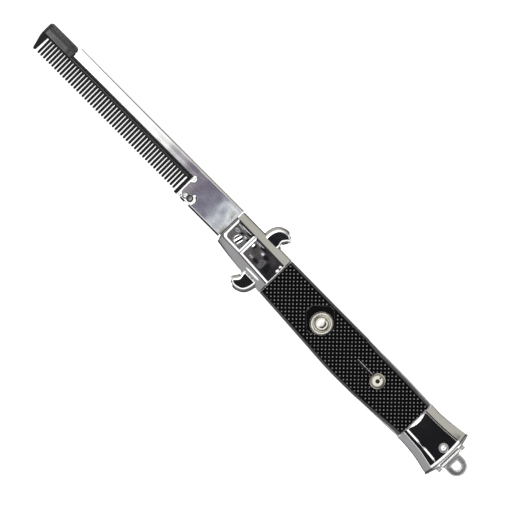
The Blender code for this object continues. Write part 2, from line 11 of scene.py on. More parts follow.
import bpy
import numpy as np
from mathutils import Matrix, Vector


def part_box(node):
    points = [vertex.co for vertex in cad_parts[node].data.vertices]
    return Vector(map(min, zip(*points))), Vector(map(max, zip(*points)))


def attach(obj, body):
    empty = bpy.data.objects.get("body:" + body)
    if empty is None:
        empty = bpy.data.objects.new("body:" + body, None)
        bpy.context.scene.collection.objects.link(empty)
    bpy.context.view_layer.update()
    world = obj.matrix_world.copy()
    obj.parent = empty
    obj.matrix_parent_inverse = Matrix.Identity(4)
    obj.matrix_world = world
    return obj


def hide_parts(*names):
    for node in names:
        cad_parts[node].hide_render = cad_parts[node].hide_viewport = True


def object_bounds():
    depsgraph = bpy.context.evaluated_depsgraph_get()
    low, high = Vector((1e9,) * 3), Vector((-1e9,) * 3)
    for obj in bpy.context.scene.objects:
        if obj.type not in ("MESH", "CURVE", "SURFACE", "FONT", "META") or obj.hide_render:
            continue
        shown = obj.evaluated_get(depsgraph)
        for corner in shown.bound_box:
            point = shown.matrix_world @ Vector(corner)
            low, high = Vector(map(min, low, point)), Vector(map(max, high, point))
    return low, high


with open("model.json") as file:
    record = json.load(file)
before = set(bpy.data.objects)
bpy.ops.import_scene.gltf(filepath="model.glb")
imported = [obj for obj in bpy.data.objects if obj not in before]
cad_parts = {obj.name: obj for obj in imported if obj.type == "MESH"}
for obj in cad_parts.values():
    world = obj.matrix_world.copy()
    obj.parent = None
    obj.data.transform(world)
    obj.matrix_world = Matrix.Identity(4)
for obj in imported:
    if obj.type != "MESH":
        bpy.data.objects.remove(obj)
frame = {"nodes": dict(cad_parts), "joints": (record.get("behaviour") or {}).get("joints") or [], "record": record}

bl_info = {
    "name": "Folding comb",
    "version": (1, 0, 0),
    "blender": (4, 5, 0),
    "location": "View3D > Sidebar > Comb",
    "description": "Dresses a flick comb with its plated metal, checkered grips and moulded comb",
    "category": "Object",
}

CAD_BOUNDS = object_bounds()
FINISH_PREFIX = "finish_"
MM = 0.001

JOINTS = {joint["name"]: joint for joint in frame["joints"]}
PIVOT = np.array(JOINTS["comb_fold"]["pos_m"])
MIDDLE = float(PIVOT[2])
BAIL_AXIS = np.array(JOINTS["bail_swing"]["pos_m"])
KNOB_TRAVEL = JOINTS["safety_slide"]["range_m"][1]
LEAN = math.radians(1.15)

# Handle outline: distance along the handle, height of the spine edge, height of the mouth edge
EDGES = MM * np.array((
    (-6.4, 8.70, -6.20),
    (8.6, 8.83, -7.55),
    (19.5, 8.88, -8.18),
    (30.0, 9.00, -8.60),
    (45.0, 9.18, -9.27),
    (58.0, 9.40, -9.80),
    (75.0, 9.80, -9.35),
    (84.4, 9.78, -8.95),
    (94.0, 9.50, -8.45),
    (98.5, 9.40, -8.40),
    (105.0, 9.97, -9.00),
    (111.8, 10.95, -10.25),
    (116.0, 11.80, -11.20),
))
SPINE, MOUTH = 1, 2

# Plates of the handle, measured out from the middle plane
LINER_FACE = 3.0 * MM
PLATE_BASE = LINER_FACE + 0.02 * MM
PANEL_TOP = MIDDLE
PANEL_RISE = 0.24 * MM
SIDE_TOP = 4.2 * MM
EDGE_SOFT = 0.25 * MM
STEEP_SHARE = 0.1

BOLSTER_X = tuple(corner.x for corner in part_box("front_bolster"))
BOLSTER_PANEL = MM * np.array(((-6.4, 5.4, -3.2), (4.5, 5.4, -3.2), (19.3, 5.3, -3.8)))
PANEL_FRONT = -5.4 * MM
PANEL_SPLIT = 3.75 * MM
SPLIT_WIDTH = 0.3 * MM
SPLIT_BEVEL = 0.68 * MM
PANEL_CORNER = 1.7 * MM
# Dents in the panels, in millimetres: place along and across, reach along and across, and height
DENTS = (
    (-0.2, 4.15, 3.0, 0.36, 0.064),
    (-1.6, 2.2, 1.6, 0.7, 0.037),
    (2.0, 2.3, 1.2, 0.45, 0.052),
    (7.6, 4.25, 1.8, 0.34, 0.064),
    (5.7, 2.5, 0.35, 0.6, 0.052),
    (11.0, 2.7, 1.1, 0.5, 0.055),
    (8.8, -0.9, 1.5, 0.5, 0.044),
    (13.6, -0.2, 1.6, 1.5, 0.026),
    (18.5, 4.1, 0.4, 0.4, 0.052),
    (18.6, 2.3, 0.35, 0.6, 0.044),
)
# The raised seat beside the mouth's guard: its place, its reach along and across, and its height
GUARD_SEAT = ((12.6 * MM, -5.55 * MM), (3.1 * MM, 0.4 * MM), 0.13 * MM)
LEDGE = 0.5 * MM
SPINE_LEDGE = 0.2 * MM
FRONT_DROP = 0.42 * MM
BOLSTER_FALL = math.tan(math.radians(0.45))
CORNER_CUT_START = -5.25 * MM
CORNER_CUT_SLOPE = 1.2

GUARD_CENTRE = np.array((11.1, 0.85)) * MM
GUARD_BOTTOM = 3.4 * MM
GUARD_TILT = 0.018
SPINE_GUARD_TOP = 4.7 * MM
MOUTH_GUARD_TOP = 5.15 * MM
MOUTH_GUARD_ROOT = -6.35 * MM
GUARD_MARKS = np.array((0.0, 0.06, 0.62, 0.7, 1.0, 1.06))
GUARD_SLOPES = (44.0, 37.0, 33.0, 16.0, 8.0, 0.0)
HOOK_BACK = ((-6.04, 6.0), (-6.04, 9.05), (-5.5, 11.35), (-4.35, 13.25), (-2.5, 14.4), (-0.2, 14.9),
             (1.65, 14.15), (3.5, 12.45))
HOOK_INNER = ((2.4, 6.0), (2.4, 8.0), (2.05, 8.6), (1.75, 9.4), (2.15, 10.3), (2.85, 11.35), (3.4, 12.3))

SCALE_X = tuple(corner.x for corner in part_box("scale_front"))
SCALE_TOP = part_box("scale_front")[1].z - MIDDLE
SCALE_SIDE_TOP = 4.4 * MM
SCALE_BEVEL = 1.6 * MM
SPINE_STRIP = ((60.0 * MM, 66.0 * MM), (0.1 * MM, 0.85 * MM))
MOUTH_STRIP = ((72.0 * MM, 92.0 * MM), (0.1 * MM, 1.1 * MM))
# The plain field round the button: its middle, its half sizes, and its cut corners as (lean, reach, scale)
PLAIN_CENTRE = (42.6 * MM, 1.3 * MM)
PLAIN_HALF = (5.9 * MM, 6.2 * MM)
PLAIN_DIAMOND = (0.93, 7.15 * MM, 1.37)

REAR_X = (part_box("rear_bolster_front")[0].x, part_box("rear_bolster_front")[1].x)
REAR_PANEL = MM * np.array(((95.2, 5.95, -4.1), (104.0, 6.25, -4.3), (111.2, 6.95, -4.75)))
REAR_LEDGE = (1.1 * MM, 1.4 * MM, 2.3 * MM)
REAR_SIDE_TOP = 4.35 * MM
REAR_RIDGE = 111.1 * MM
REAR_DROP = 0.45 * MM
REAR_CORNER_DROP = 0.12 * MM
NOTCH = (112.5 * MM, 5.25 * MM)

# Comb and holder, measured along the blade from the pin and across it towards its back
FIRST_TOOTH = 31.4 * MM
LAST_TOOTH = 102.9 * MM
TEETH = 50
TOOTH_ROOT = 2.95 * MM
TOOTH_TIP = -3.75 * MM
HEAD = (92.65 * MM, 107.1 * MM)
HEAD_BACK = 8.3 * MM
HEAD_FLAT = (99.6 * MM, 3.4 * MM, 5.3 * MM)
END_TOOTH = (104.1 * MM, 105.2 * MM)
END_BLOCK = (28.75 * MM, 30.2 * MM)
FOLD = (28.5 * MM, 92.3 * MM)
# Columns of the folded sheet's side, as distances from the comb's back
FOLD_COLUMNS = MM * np.array((1.7, 1.45, 1.2, 1.05, 0.95, 0.9, 0.85, 0.8, 0.65, 0.5, 0.3, 0.14, 0.1, 0.06,
                              0.03, 0.0))
# The slopes of an edge, in degrees, at distances from it
BACK_MARKS = MM * np.array((0.0, 0.1, 0.6, 0.75, 1.5))
BACK_SLOPES = (70.0, 40.0, 28.0, 10.0, 0.0)
LOW_MARKS = MM * np.array((0.0, 0.03, 0.06, 0.8, 0.88, 0.92))
LOW_SLOPES = (50.0, 44.0, 43.5, 42.0, 12.0, 0.0)
HOLDER_BACK = 9.15 * MM
HOLDER_HALF = 1.65 * MM
HOLDER_LIP = 4.85 * MM
SHEET = 0.4 * MM
RICASSO_END = 28.5 * MM
RICASSO_EDGE = -4.6 * MM
RICASSO_HALF = 1.5 * MM
TANG_RADIUS = 6.0 * MM
SHOULDER = 6.0 * MM
DIMPLE = (24.0 * MM, -2.0 * MM)
# Half the back strip's section: how far beyond the teeth's roots, and half its thickness there
STRIP_SECTION = MM * np.array((
    (-0.1, 0.62),
    (0.15, 0.75),
    (0.55, 0.95),
    (0.95, 0.95),
    (1.3, 0.65),
    (3.0, 0.5),
))
MIRROR = np.array((1.0, -1.0))

PIN_PLACE = (0.0, 0.0)
HEAD_MARKS = MM * np.array((0.0, 0.05, 0.28, 0.36))
HEAD_SLOPES = (60.0, 44.0, 41.0, 0.0)
HEAD_RISE = 0.28 * MM
RIVET_PLACE = (109.0 * MM, 1.3 * MM)
# Heads: solid, place, radius, height of the crown and height of the ribs
HEADS = (
    ("pivot_pin", PIN_PLACE, 2.15 * MM, 0.02 * MM, 0.014 * MM),
    ("butt_rivet", RIVET_PLACE, 1.85 * MM, 0.75 * MM, 0.0),
)
BUTTON_PLACE = (44.0 * MM, 0.6 * MM)
KNOB_PLACE = (73.9 * MM, 0.75 * MM)
BUTTON_HOLE = 4.5 * MM
BUTTON_TILT = 0.045
SLOT_HALF = 0.62 * MM
SLOT_REACH = 1.8 * MM
# The barrel's outline: places across from the middle of its axis, and radii there
BARREL_OUTLINE = MM * np.array((
    (-6.4, 0.3),
    (-6.25, 0.45),
    (-4.72, 0.45),
    (-4.7, 0.85),
    (-4.5, 1.05),
    (4.5, 1.05),
    (4.7, 0.85),
    (4.72, 0.45),
    (6.25, 0.45),
    (6.4, 0.3),
))

# Columns and rows crowd towards an edge, at these shares of a reach
NEAR_MARK = np.array((0.0, 0.06, 0.2, 0.4, 0.7, 0.94, 1.0))
NEAR_EDGE = np.array((0.0, 0.06, 0.16, 0.3, 0.45, 0.6, 0.75, 0.94))
BAND_COLUMNS = np.concatenate(((0.03, 0.08), np.linspace(0.14, 1.0, 18)))
LEDGE_COLUMNS = np.array((0.06, 0.5, 0.94))
AXIS_GAP = 0.02 * MM

# Second tones of the finishes, and both tones of those that no setting changes
CHROME_SHADE = (0.84, 0.835, 0.825)
NICKEL_SHADE = (0.60, 0.58, 0.51)
LINER_SHADE = (0.5, 0.49, 0.47)
COMB_DUST = (0.014, 0.014, 0.015)
TOOTH_DUST = (0.010, 0.010, 0.011)
# The tone of the grips' painted highlight on the pyramids' points, the line round the plain field and the bare
# edges
GRIP_HIGHLIGHT = (0.44, 0.44, 0.445)
DULL_CHROME = ((0.62, 0.62, 0.63), (0.5, 0.5, 0.51))
DARK_CHROME = ((0.24, 0.235, 0.24), (0.17, 0.165, 0.17))
# Near-black tones that paint shade and shadow: the ring round the holder's pin, the knob's pit and the slot's
# floor
SHADOW_TONES = ((0.05, 0.045, 0.04), (0.03, 0.028, 0.025))

# Light: the tent, the room from the mouth's side to the spine's side, and the strip overhead by its angle
# along the handle. Angles are in degrees off the vertical, heights are sines above the horizon.
TENT_WHITE = (1.15, 1.15, 1.15)
ROOM_STOPS = ((0.0, (0.33, 0.325, 0.335)), (0.5, (0.40, 0.395, 0.38)), (1.0, (0.45, 0.44, 0.395)))
STRIP_SPAN = (-4.0, 1.5)
STRIP_STOPS = (
    (-4.0, (1.15, 1.15, 1.15)),
    (-2.9, (1.1, 1.1, 1.1)),
    (-2.3, (0.42, 0.40, 0.43)),
    (-1.9, (0.19, 0.165, 0.21)),
    (-1.5, (0.15, 0.13, 0.18)),
    (-1.2, (0.24, 0.25, 0.31)),
    (-1.0, (0.60, 0.64, 0.68)),
    (-0.84, (0.90, 0.90, 0.88)),
    (-0.78, (0.28, 0.27, 0.27)),
    (-0.6, (0.10, 0.095, 0.095)),
    (-0.35, (0.02, 0.019, 0.021)),
    (0.07, (0.02, 0.019, 0.021)),
    (0.15, (0.22, 0.21, 0.20)),
    (0.3, (0.20, 0.19, 0.185)),
    (0.5, (0.12, 0.115, 0.115)),
    (0.65, (0.09, 0.078, 0.086)),
    (0.9, (0.05, 0.044, 0.05)),
    (1.15, (0.02, 0.019, 0.022)),
    (1.5, (0.012, 0.012, 0.014)),
)
STRIP_ACROSS = (12, 17)
STRIP_ENDS = ((-4.05, -3.95), (11, 15))
TENT_EDGE = (0.63, 0.76)
HORIZON_FADE = (0.1, 0.2)
ROOM_SPAN = 0.7
ROOM_SHADE = (0.03, 0.03, 0.032)
FLOOR_LINE = (0.12, 0.40, 0.03)
BUTT_SHADE = (0.2, 0.8, 0.35)
FLAG_SHADE = (0.035, 0.034, 0.036)
FLAG_ACROSS = ((22, 29), (47, 53))
FLAG_ALONG = (5, 11)
SOFTBOX_GLOW = (4.0, 4.0, 4.1)
SOFTBOX_ACROSS = (6, 10)
SOFTBOX_ENDS = ((-10, -7), (-5.0, -4.4))
FLOOR_GLOW = 0.75
FLOOR_GAP = 0.02 * MM

# Photograph: the pivot's pixel, the handle's slope in it and the size of a pixel at the middle plane
PHOTO_SIZE = 520
PIVOT_PIXEL = (238.8, 239.8)
HANDLE_SLOPE = math.radians(46.15)
PIXEL = 0.375 * MM


# Curves and grids

def edge(x, which):
    """Height of the handle's edge: a cubic through the table's rows whose slopes are their mean slopes."""
    places, heights = EDGES[:, 0], EDGES[:, which]
    slopes = np.gradient(heights, places)
    i = np.clip(np.searchsorted(places, x) - 1, 0, len(places) - 2)
    span = places[i + 1] - places[i]
    t = (x - places[i]) / span
    return (heights[i] * (1 + 2 * t) * (1 - t)**2 + slopes[i] * span * t * (1 - t)**2
            + heights[i + 1] * t**2 * (3 - 2 * t) + slopes[i + 1] * span * t**2 * (t - 1))


def smooth_through(points, steps):
    """A Catmull-Rom curve through the points, sampled at even steps of arc length."""
    between = 12
    given = np.array(points, dtype=float) * MM
    padded = np.vstack((2 * given[0] - given[1], given, 2 * given[-1] - given[-2]))
    t = np.linspace(0, 1, between, endpoint=False)[None, :, None]
    before, a, b, after = (padded[k:k + len(given) - 1, None, :] for k in range(4))
    curve = 0.5 * (2 * a + (b - before) * t + (2 * before - 5 * a + 4 * b - after) * t**2
                   + (3 * a - before - 3 * b + after) * t**3)
    curve = np.vstack((curve.reshape(-1, 2), given[-1]))
    lengths = np.concatenate(([0.0], np.cumsum(np.linalg.norm(np.diff(curve, axis=0), axis=1))))
    wanted = np.linspace(0, lengths[-1], steps)
    return np.stack([np.interp(wanted, lengths, curve[:, k]) for k in range(2)], axis=-1)


def stations(start, end, spacing, marks=(), reach=0.6 * MM):
    """Even places from start to end, with closer ones within the reach of each mark and of both ends."""
    even = np.linspace(start, end, int((end - start) / spacing) + 2)
    near = reach * NEAR_MARK
    offsets = np.concatenate((-near[:0:-1], near))
    close = (np.array((start, end, *marks))[:, None] + offsets[None, :]).ravel()
    kept = close[(close >= start) & (close <= end)]
    digits = 7
    return np.unique(np.round(np.concatenate((even, kept)), digits))


def across(low, high, count, reach=0.7 * MM):
    """Columns from low to high at each station, closer together within the reach of either edge."""
    near = reach * NEAR_EDGE
    low, high = np.broadcast_arrays(np.asarray(low)[:, None], np.asarray(high)[:, None])
    inner = np.linspace(0, 1, count)[None, :]
    middle = low + reach + (high - low - 2 * reach) * inner
    return np.concatenate((low + near, middle, high - near[::-1]), axis=1)


def round_over(distance, reach, steepest=90.0):
    """How far a surface falls near an edge: a circle's arc that reaches its steepest slope at the edge."""
    radius = reach / math.sin(math.radians(steepest))
    inside = np.clip(reach - distance, 0.0, reach)
    return radius - np.sqrt(np.maximum(radius**2 - inside**2, 0.0))


def fall_by_slopes(distance, marks, angles):
    """How far a surface falls near an edge: the sum of its slopes, each an angle at a distance from it."""
    samples = 200
    places = np.linspace(0.0, marks[-1], samples)
    slopes = np.tan(np.radians(np.interp(places, marks, angles)))
    steps = 0.5 * (slopes[1:] + slopes[:-1]) * np.diff(places)
    height = np.concatenate((np.cumsum(steps[::-1])[::-1], (0.0,)))
    return np.interp(distance, places, height)


def ease(t):
    """Smooth step from 0 to 1."""
    t = np.clip(t, 0.0, 1.0)
    return t * t * (3 - 2 * t)


def bend(before, corner, after, reach, steps=5):
    """Rounds one corner of a section at every station: corner + reach((1-t)^2 u + t^2 w).

    u and w are the unit vectors to the points before and after it, and t runs from 0 to 1.
    """
    most_of_side = 0.45
    back, ahead = before - corner, after - corner
    back_length = np.linalg.norm(back, axis=-1, keepdims=True)
    ahead_length = np.linalg.norm(ahead, axis=-1, keepdims=True)
    held = np.minimum(reach, most_of_side * np.minimum(back_length, ahead_length))[:, None, :]
    t = np.linspace(0, 1, steps)[None, :, None]
    return corner[:, None, :] + held * ((1 - t)**2 * (back / back_length)[:, None, :]
                                        + t**2 * (ahead / ahead_length)[:, None, :])


def rounded_loop(corners, reach, steps=4):
    """Rounds every corner of closed loops (stations, corners, 3) and strings the points together."""
    turned = [bend(np.roll(corners, 1, axis=1)[:, k], corners[:, k], np.roll(corners, -1, axis=1)[:, k],
                   reach, steps) for k in range(corners.shape[1])]
    return np.concatenate(turned, axis=1)


# Closed skins

def facing_out(points, quads, caps):
    """The skin's faces as lists, turned over if the volume that they enclose is negative."""
    a, b, c, d = (points[quads[:, k]] for k in range(4))
    volume = np.einsum("ij,ij->", a, np.cross(b, c)) + np.einsum("ij,ij->", a, np.cross(c, d))
    for cap in caps:
        ring = points[cap]
        first = np.broadcast_to(ring[0], ring[1:-1].shape)
        volume += np.einsum("ij,ij->", first, np.cross(ring[1:-1], ring[2:]))
    faces = quads.tolist() + [list(map(int, cap)) for cap in caps]
    if volume < 0:
        faces = [face[::-1] for face in faces]
    return points, faces


def cells(index):
    """The four corners of each cell of a grid of indices."""
    return np.stack((index[:-1, :-1], index[1:, :-1], index[1:, 1:], index[:-1, 1:]), axis=-1).reshape(-1, 4)


def slab(top, bottom):
    """A closed skin of two grids of the same shape, joined by a strip round their borders."""
    rows, columns = top.shape[:2]
    upper = np.arange(rows * columns).reshape(rows, columns)
    lower = upper + rows * columns

    def border(index):
        """The grid's outer indices in one turn round it."""
        return np.concatenate((index[:-1, 0], index[-1, :-1], index[:0:-1, -1], index[0, :0:-1]))

    up, down = border(upper), border(lower)
    walls = np.stack((np.roll(up, -1), up, down, np.roll(down, -1)), axis=-1)
    quads = np.concatenate((cells(upper), cells(lower)[:, ::-1], walls))
    return facing_out(np.concatenate((top.reshape(-1, 3), bottom.reshape(-1, 3))), quads, [])


def tube(rings, looped=False):
    """A closed skin of rings carried along a path; a looped path joins its last ring to its first."""
    rows, columns = rings.shape[:2]
    index = np.arange(rows * columns).reshape(rows, columns)
    index = np.concatenate((index, index[:, :1]), axis=1)
    caps = [] if looped else [index[0, :-1], index[-1, :-1][::-1]]
    if looped:
        index = np.concatenate((index, index[:1]), axis=0)
    quads = cells(index)
    return facing_out(rings.reshape(-1, 3), quads, caps)


def turned(profile, place, steps=96):
    """A profile of (radius, height) rows turned about an upright axis at a place."""
    radius, height = np.array(profile, dtype=float).T
    angle = np.linspace(0, 2 * np.pi, steps, endpoint=False)
    x = place[0] + radius[:, None] * np.cos(angle)
    y = place[1] + radius[:, None] * np.sin(angle)
    return tube(np.stack((x, y, np.broadcast_to(height[:, None], x.shape)), axis=-1))


def cylinder(place, radius, low, high, steps=96):
    """An upright rod with flat ends."""
    return turned(((AXIS_GAP, low), (radius, low), (radius, high), (AXIS_GAP, high)), place, steps)


def both_faces(along, v, front, back):
    """A flat part of the comb, between its front above the middle plane and its back below it."""
    return slab(np.stack((along, v, front), axis=-1), np.stack((along, v, -back), axis=-1))


def dome(radius, low, shoulder, height, rows):
    """Profile of a round cap: an upright side, then a quarter ellipse up to the crown."""
    chamfer = 0.15 * MM
    angle = np.linspace(0, np.pi / 2, rows)
    radii = radius * np.cos(angle)
    radii[-1] = AXIS_GAP / 2
    side = ((radius - chamfer, low), (radius, low + chamfer))
    return np.concatenate((side, np.stack((radii, shoulder + height * np.sin(angle)), axis=-1)))


# Objects

def in_blade(points):
    """Carries (along, across, height) to its place on the blade, which points to -X and leans."""
    x, y, z = -points[..., 0], points[..., 1], points[..., 2]
    leaned_x = x * math.cos(LEAN) - y * math.sin(LEAN)
    leaned_y = x * math.sin(LEAN) + y * math.cos(LEAN)
    return np.stack((leaned_x, leaned_y, z), axis=-1)


def add_piece(name, shells, body, material, replaced=(), blade=False, smooth_angle=35.0):
    """Joins skins into one named mesh on a body of the frame, in place of the CAD nodes named."""
    points, faces, start = [], [], 0
    for shell_points, shell_faces in shells:
        points.append(shell_points)
        faces += [[corner + start for corner in face] for face in shell_faces]
        start += len(shell_points)
    placed = np.concatenate(points)
    if blade:
        placed = in_blade(placed)
    placed = placed + np.array((0.0, 0.0, MIDDLE))
    mesh = bpy.data.meshes.new(name)
    mesh.from_pydata(placed.tolist(), [], faces)
    mesh.update()
    mesh.shade_smooth()
    mesh.set_sharp_from_angle(angle=math.radians(smooth_angle))
    mesh.materials.append(material)
    piece = bpy.data.objects.new(name, mesh)
    bpy.context.scene.collection.objects.link(piece)
    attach(piece, body)
    if replaced:
        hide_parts(*replaced)
    return piece


def add_mark(piece, name, values):
    """Stores one number for each point of a piece, for its material to read."""
    layer = piece.data.attributes.new(name, "FLOAT", "POINT")
    layer.data.foreach_set("value", np.asarray(values, dtype=np.float32))


def cut_out(piece, shell):
    """Cuts a skin's volume out of a piece and keeps the result as its mesh."""
    points, faces = shell
    mesh = bpy.data.meshes.new("cutter")
    mesh.from_pydata((points + np.array((0.0, 0.0, MIDDLE))).tolist(), [], faces)
    cutter = bpy.data.objects.new("cutter", mesh)
    bpy.context.scene.collection.objects.link(cutter)
    step = piece.modifiers.new("cut", "BOOLEAN")
    step.operation = "DIFFERENCE"
    step.solver = "EXACT"
    step.object = cutter
    bpy.context.view_layer.update()
    shaped = bpy.data.meshes.new_from_object(piece.evaluated_get(bpy.context.evaluated_depsgraph_get()))
    piece.modifiers.clear()
    piece.data = shaped
    bpy.data.objects.remove(cutter)
    shaped.set_sharp_from_angle(angle=math.radians(35.0))


# Materials

def new_material(name, colour, metallic, roughness):
    """A Principled material with its constant values set, and its node tree."""
    material = bpy.data.materials.new(FINISH_PREFIX + name)
    material.use_nodes = True
    tree = material.node_tree
    shader = tree.nodes["Principled BSDF"]
    shader.inputs["Base Color"].default_value = (*colour, 1.0)
    shader.inputs["Metallic"].default_value = metallic
    shader.inputs["Roughness"].default_value = roughness
    return material, tree, shader


def grain(tree, scale, detail=3.0, stretch=(1.0, 1.0, 1.0)):
    """Noise on Object coordinates, by its features per metre, multiplied along each axis by the stretch."""
    place = tree.nodes.new("ShaderNodeTexCoord")
    mapping = tree.nodes.new("ShaderNodeMapping")
    mapping.inputs["Scale"].default_value = stretch
    noise = tree.nodes.new("ShaderNodeTexNoise")
    noise.inputs["Scale"].default_value = scale
    noise.inputs["Detail"].default_value = detail
    tree.links.new(place.outputs["Object"], mapping.inputs["Vector"])
    tree.links.new(mapping.outputs["Vector"], noise.inputs["Vector"])
    return noise.outputs["Fac"]


def ranged(tree, source, low, high, start=0.3, end=0.7):
    """Carries a source's span from start to end over to low to high."""
    step = tree.nodes.new("ShaderNodeMapRange")
    step.inputs["From Min"].default_value = start
    step.inputs["From Max"].default_value = end
    step.inputs["To Min"].default_value = low
    step.inputs["To Max"].default_value = high
    tree.links.new(source, step.inputs["Value"])
    return step.outputs["Result"]


def blended(tree, amount, first, second):
    """A colour between two, by an amount from 0 to 1."""
    mix = tree.nodes.new("ShaderNodeMix")
    mix.data_type = "RGBA"
    mix.inputs["A"].default_value = (*first, 1.0)
    mix.inputs["B"].default_value = (*second, 1.0)
    tree.links.new(amount, mix.inputs["Factor"])
    return mix.outputs["Result"]


def added(tree, first, second):
    """The sum of two values."""
    step = tree.nodes.new("ShaderNodeMath")
    tree.links.new(first, step.inputs[0])
    tree.links.new(second, step.inputs[1])
    return step.outputs["Value"]


def bumped(tree, height, distance, under=None):
    """A bump from a height, over another one if it is given."""
    step = tree.nodes.new("ShaderNodeBump")
    step.inputs["Distance"].default_value = distance
    step.inputs["Strength"].default_value = 1.0
    tree.links.new(height, step.inputs["Height"])
    if under is not None:
        tree.links.new(under, step.inputs["Normal"])
    return step.outputs["Normal"]


def plated_metal(name, colour, shade, smooth, dull, ripple):
    """Plated metal: clouds of tone, fine scratches along the handle, and slow ripples from the pressing."""
    material, tree, shader = new_material(name, colour, metallic=1.0, roughness=smooth)
    clouds = grain(tree, scale=90.0, detail=4.0)
    scratches = grain(tree, scale=2600.0, detail=2.0, stretch=(0.06, 1.0, 1.0))
    speckle = grain(tree, scale=1500.0, detail=2.0)
    tree.links.new(blended(tree, ranged(tree, clouds, 0.0, 1.0), colour, shade), shader.inputs["Base Color"])
    cloudy = ranged(tree, clouds, low=smooth, high=dull, start=0.35, end=0.75)
    scratched = ranged(tree, scratches, low=0.0, high=0.03, start=0.5, end=0.8)
    tree.links.new(added(tree, cloudy, scratched), shader.inputs["Roughness"])
    slow = bumped(tree, grain(tree, scale=110.0, detail=1.0), distance=ripple)
    fine = bumped(tree, scratches, distance=0.0008 * MM, under=slow)
    tree.links.new(bumped(tree, speckle, distance=0.0005 * MM, under=fine), shader.inputs["Normal"])
    return material


def moulded_plastic(name, colour, dust, smooth, dull, pore, shine):
    """Moulded plastic: faint dust in its tone, uneven gloss and fine pores."""
    material, tree, shader = new_material(name, colour, metallic=0.0, roughness=smooth)
    shader.inputs["Specular IOR Level"].default_value = shine
    clouds = grain(tree, scale=160.0, detail=4.0)
    pores = grain(tree, scale=3200.0, detail=3.0)
    streaks = grain(tree, scale=900.0, detail=2.0, stretch=(0.15, 1.0, 1.0))
    dusty = ranged(tree, clouds, low=0.0, high=1.0, start=0.45, end=0.8)
    tree.links.new(blended(tree, dusty, colour, dust), shader.inputs["Base Color"])
    streaky = ranged(tree, streaks, low=0.0, high=0.08, start=0.5, end=0.8)
    tree.links.new(added(tree, ranged(tree, clouds, smooth, dull), streaky), shader.inputs["Roughness"])
    tree.links.new(bumped(tree, pores, distance=pore), shader.inputs["Normal"])
    return material


def grip_plastic(name, colour, reflection_stand_in):
    """The grips' plastic: the raised points get a lighter tone as a painted highlight, and are glossier than the
    grooves.
    """
    material = moulded_plastic(name, colour, colour, smooth=0.34, dull=0.46, pore=0.004 * MM, shine=0.06)
    tree = material.node_tree
    shader = tree.nodes["Principled BSDF"]
    raised = tree.nodes.new("ShaderNodeAttribute")
    raised.attribute_name = "raised"
    # Painted highlight: the raised mark lightens the points, the line round the plain field and the bare edges
    painted_highlight = ranged(tree, raised.outputs["Fac"], low=0.0, high=1.0, start=0.55, end=0.85)
    tree.links.new(blended(tree, painted_highlight, colour, reflection_stand_in), shader.inputs["Base Color"])
    matt = ranged(tree, raised.outputs["Fac"], low=0.1, high=-0.06, start=0.0, end=1.0)
    uneven = ranged(tree, grain(tree, scale=300.0), low=0.3, high=0.42)
    tree.links.new(added(tree, uneven, matt), shader.inputs["Roughness"])
    return material


def rolled_steel(name, colour, shade):
    """Dull plated sheet with a grain along the handle."""
    material, tree, shader = new_material(name, colour, metallic=1.0, roughness=0.3)
    rolled = grain(tree, scale=2400.0, detail=4.0, stretch=(0.02, 1.0, 1.0))
    clouds = grain(tree, scale=120.0, detail=4.0)
    tree.links.new(blended(tree, ranged(tree, clouds, 0.0, 1.0), colour, shade), shader.inputs["Base Color"])
    tree.links.new(ranged(tree, rolled, low=0.2, high=0.42), shader.inputs["Roughness"])
    tree.links.new(bumped(tree, rolled, distance=0.002 * MM), shader.inputs["Normal"])
    return material


def make_materials(look):
    """Every finish of the comb, by the record's slot."""
    chrome, nickel = tuple(look.chrome), tuple(look.nickel)
    black, grip_black = tuple(look.comb_black), tuple(look.grip_black)
    plated_metal("bright_chrome", chrome, CHROME_SHADE, smooth=0.03, dull=0.08, ripple=0.02 * MM)
    plated_metal("sheet_chrome", chrome, CHROME_SHADE, smooth=0.02, dull=0.05, ripple=0.02 * MM)
    plated_metal("dull_chrome", *DULL_CHROME, smooth=0.18, dull=0.3, ripple=0.05 * MM)
    plated_metal("dark_chrome", *DARK_CHROME, smooth=0.18, dull=0.3, ripple=0.03 * MM)
    # Painted shade and shadow: a near-black metal for the ring round the holder's pin, the knob's pit and the
    # slot's floor
    plated_metal("dark_steel", *SHADOW_TONES, smooth=0.35, dull=0.5, ripple=0.03 * MM)
    plated_metal("warm_nickel", nickel, NICKEL_SHADE, smooth=0.05, dull=0.14, ripple=0.03 * MM)
    rolled_steel("steel_liner", tuple(look.liner), LINER_SHADE)
    moulded_plastic("comb_plastic", black, COMB_DUST, smooth=0.10, dull=0.17, pore=0.001 * MM, shine=0.6)
    moulded_plastic("tooth_plastic", black, TOOTH_DUST, smooth=0.26, dull=0.4, pore=0.002 * MM, shine=0.2)
    grip_plastic("grip_plastic", grip_black, GRIP_HIGHLIGHT)


def material_for(name):
    """The finish of this name that make_materials made."""
    return bpy.data.materials[FINISH_PREFIX + name]


# Shapes of the handle

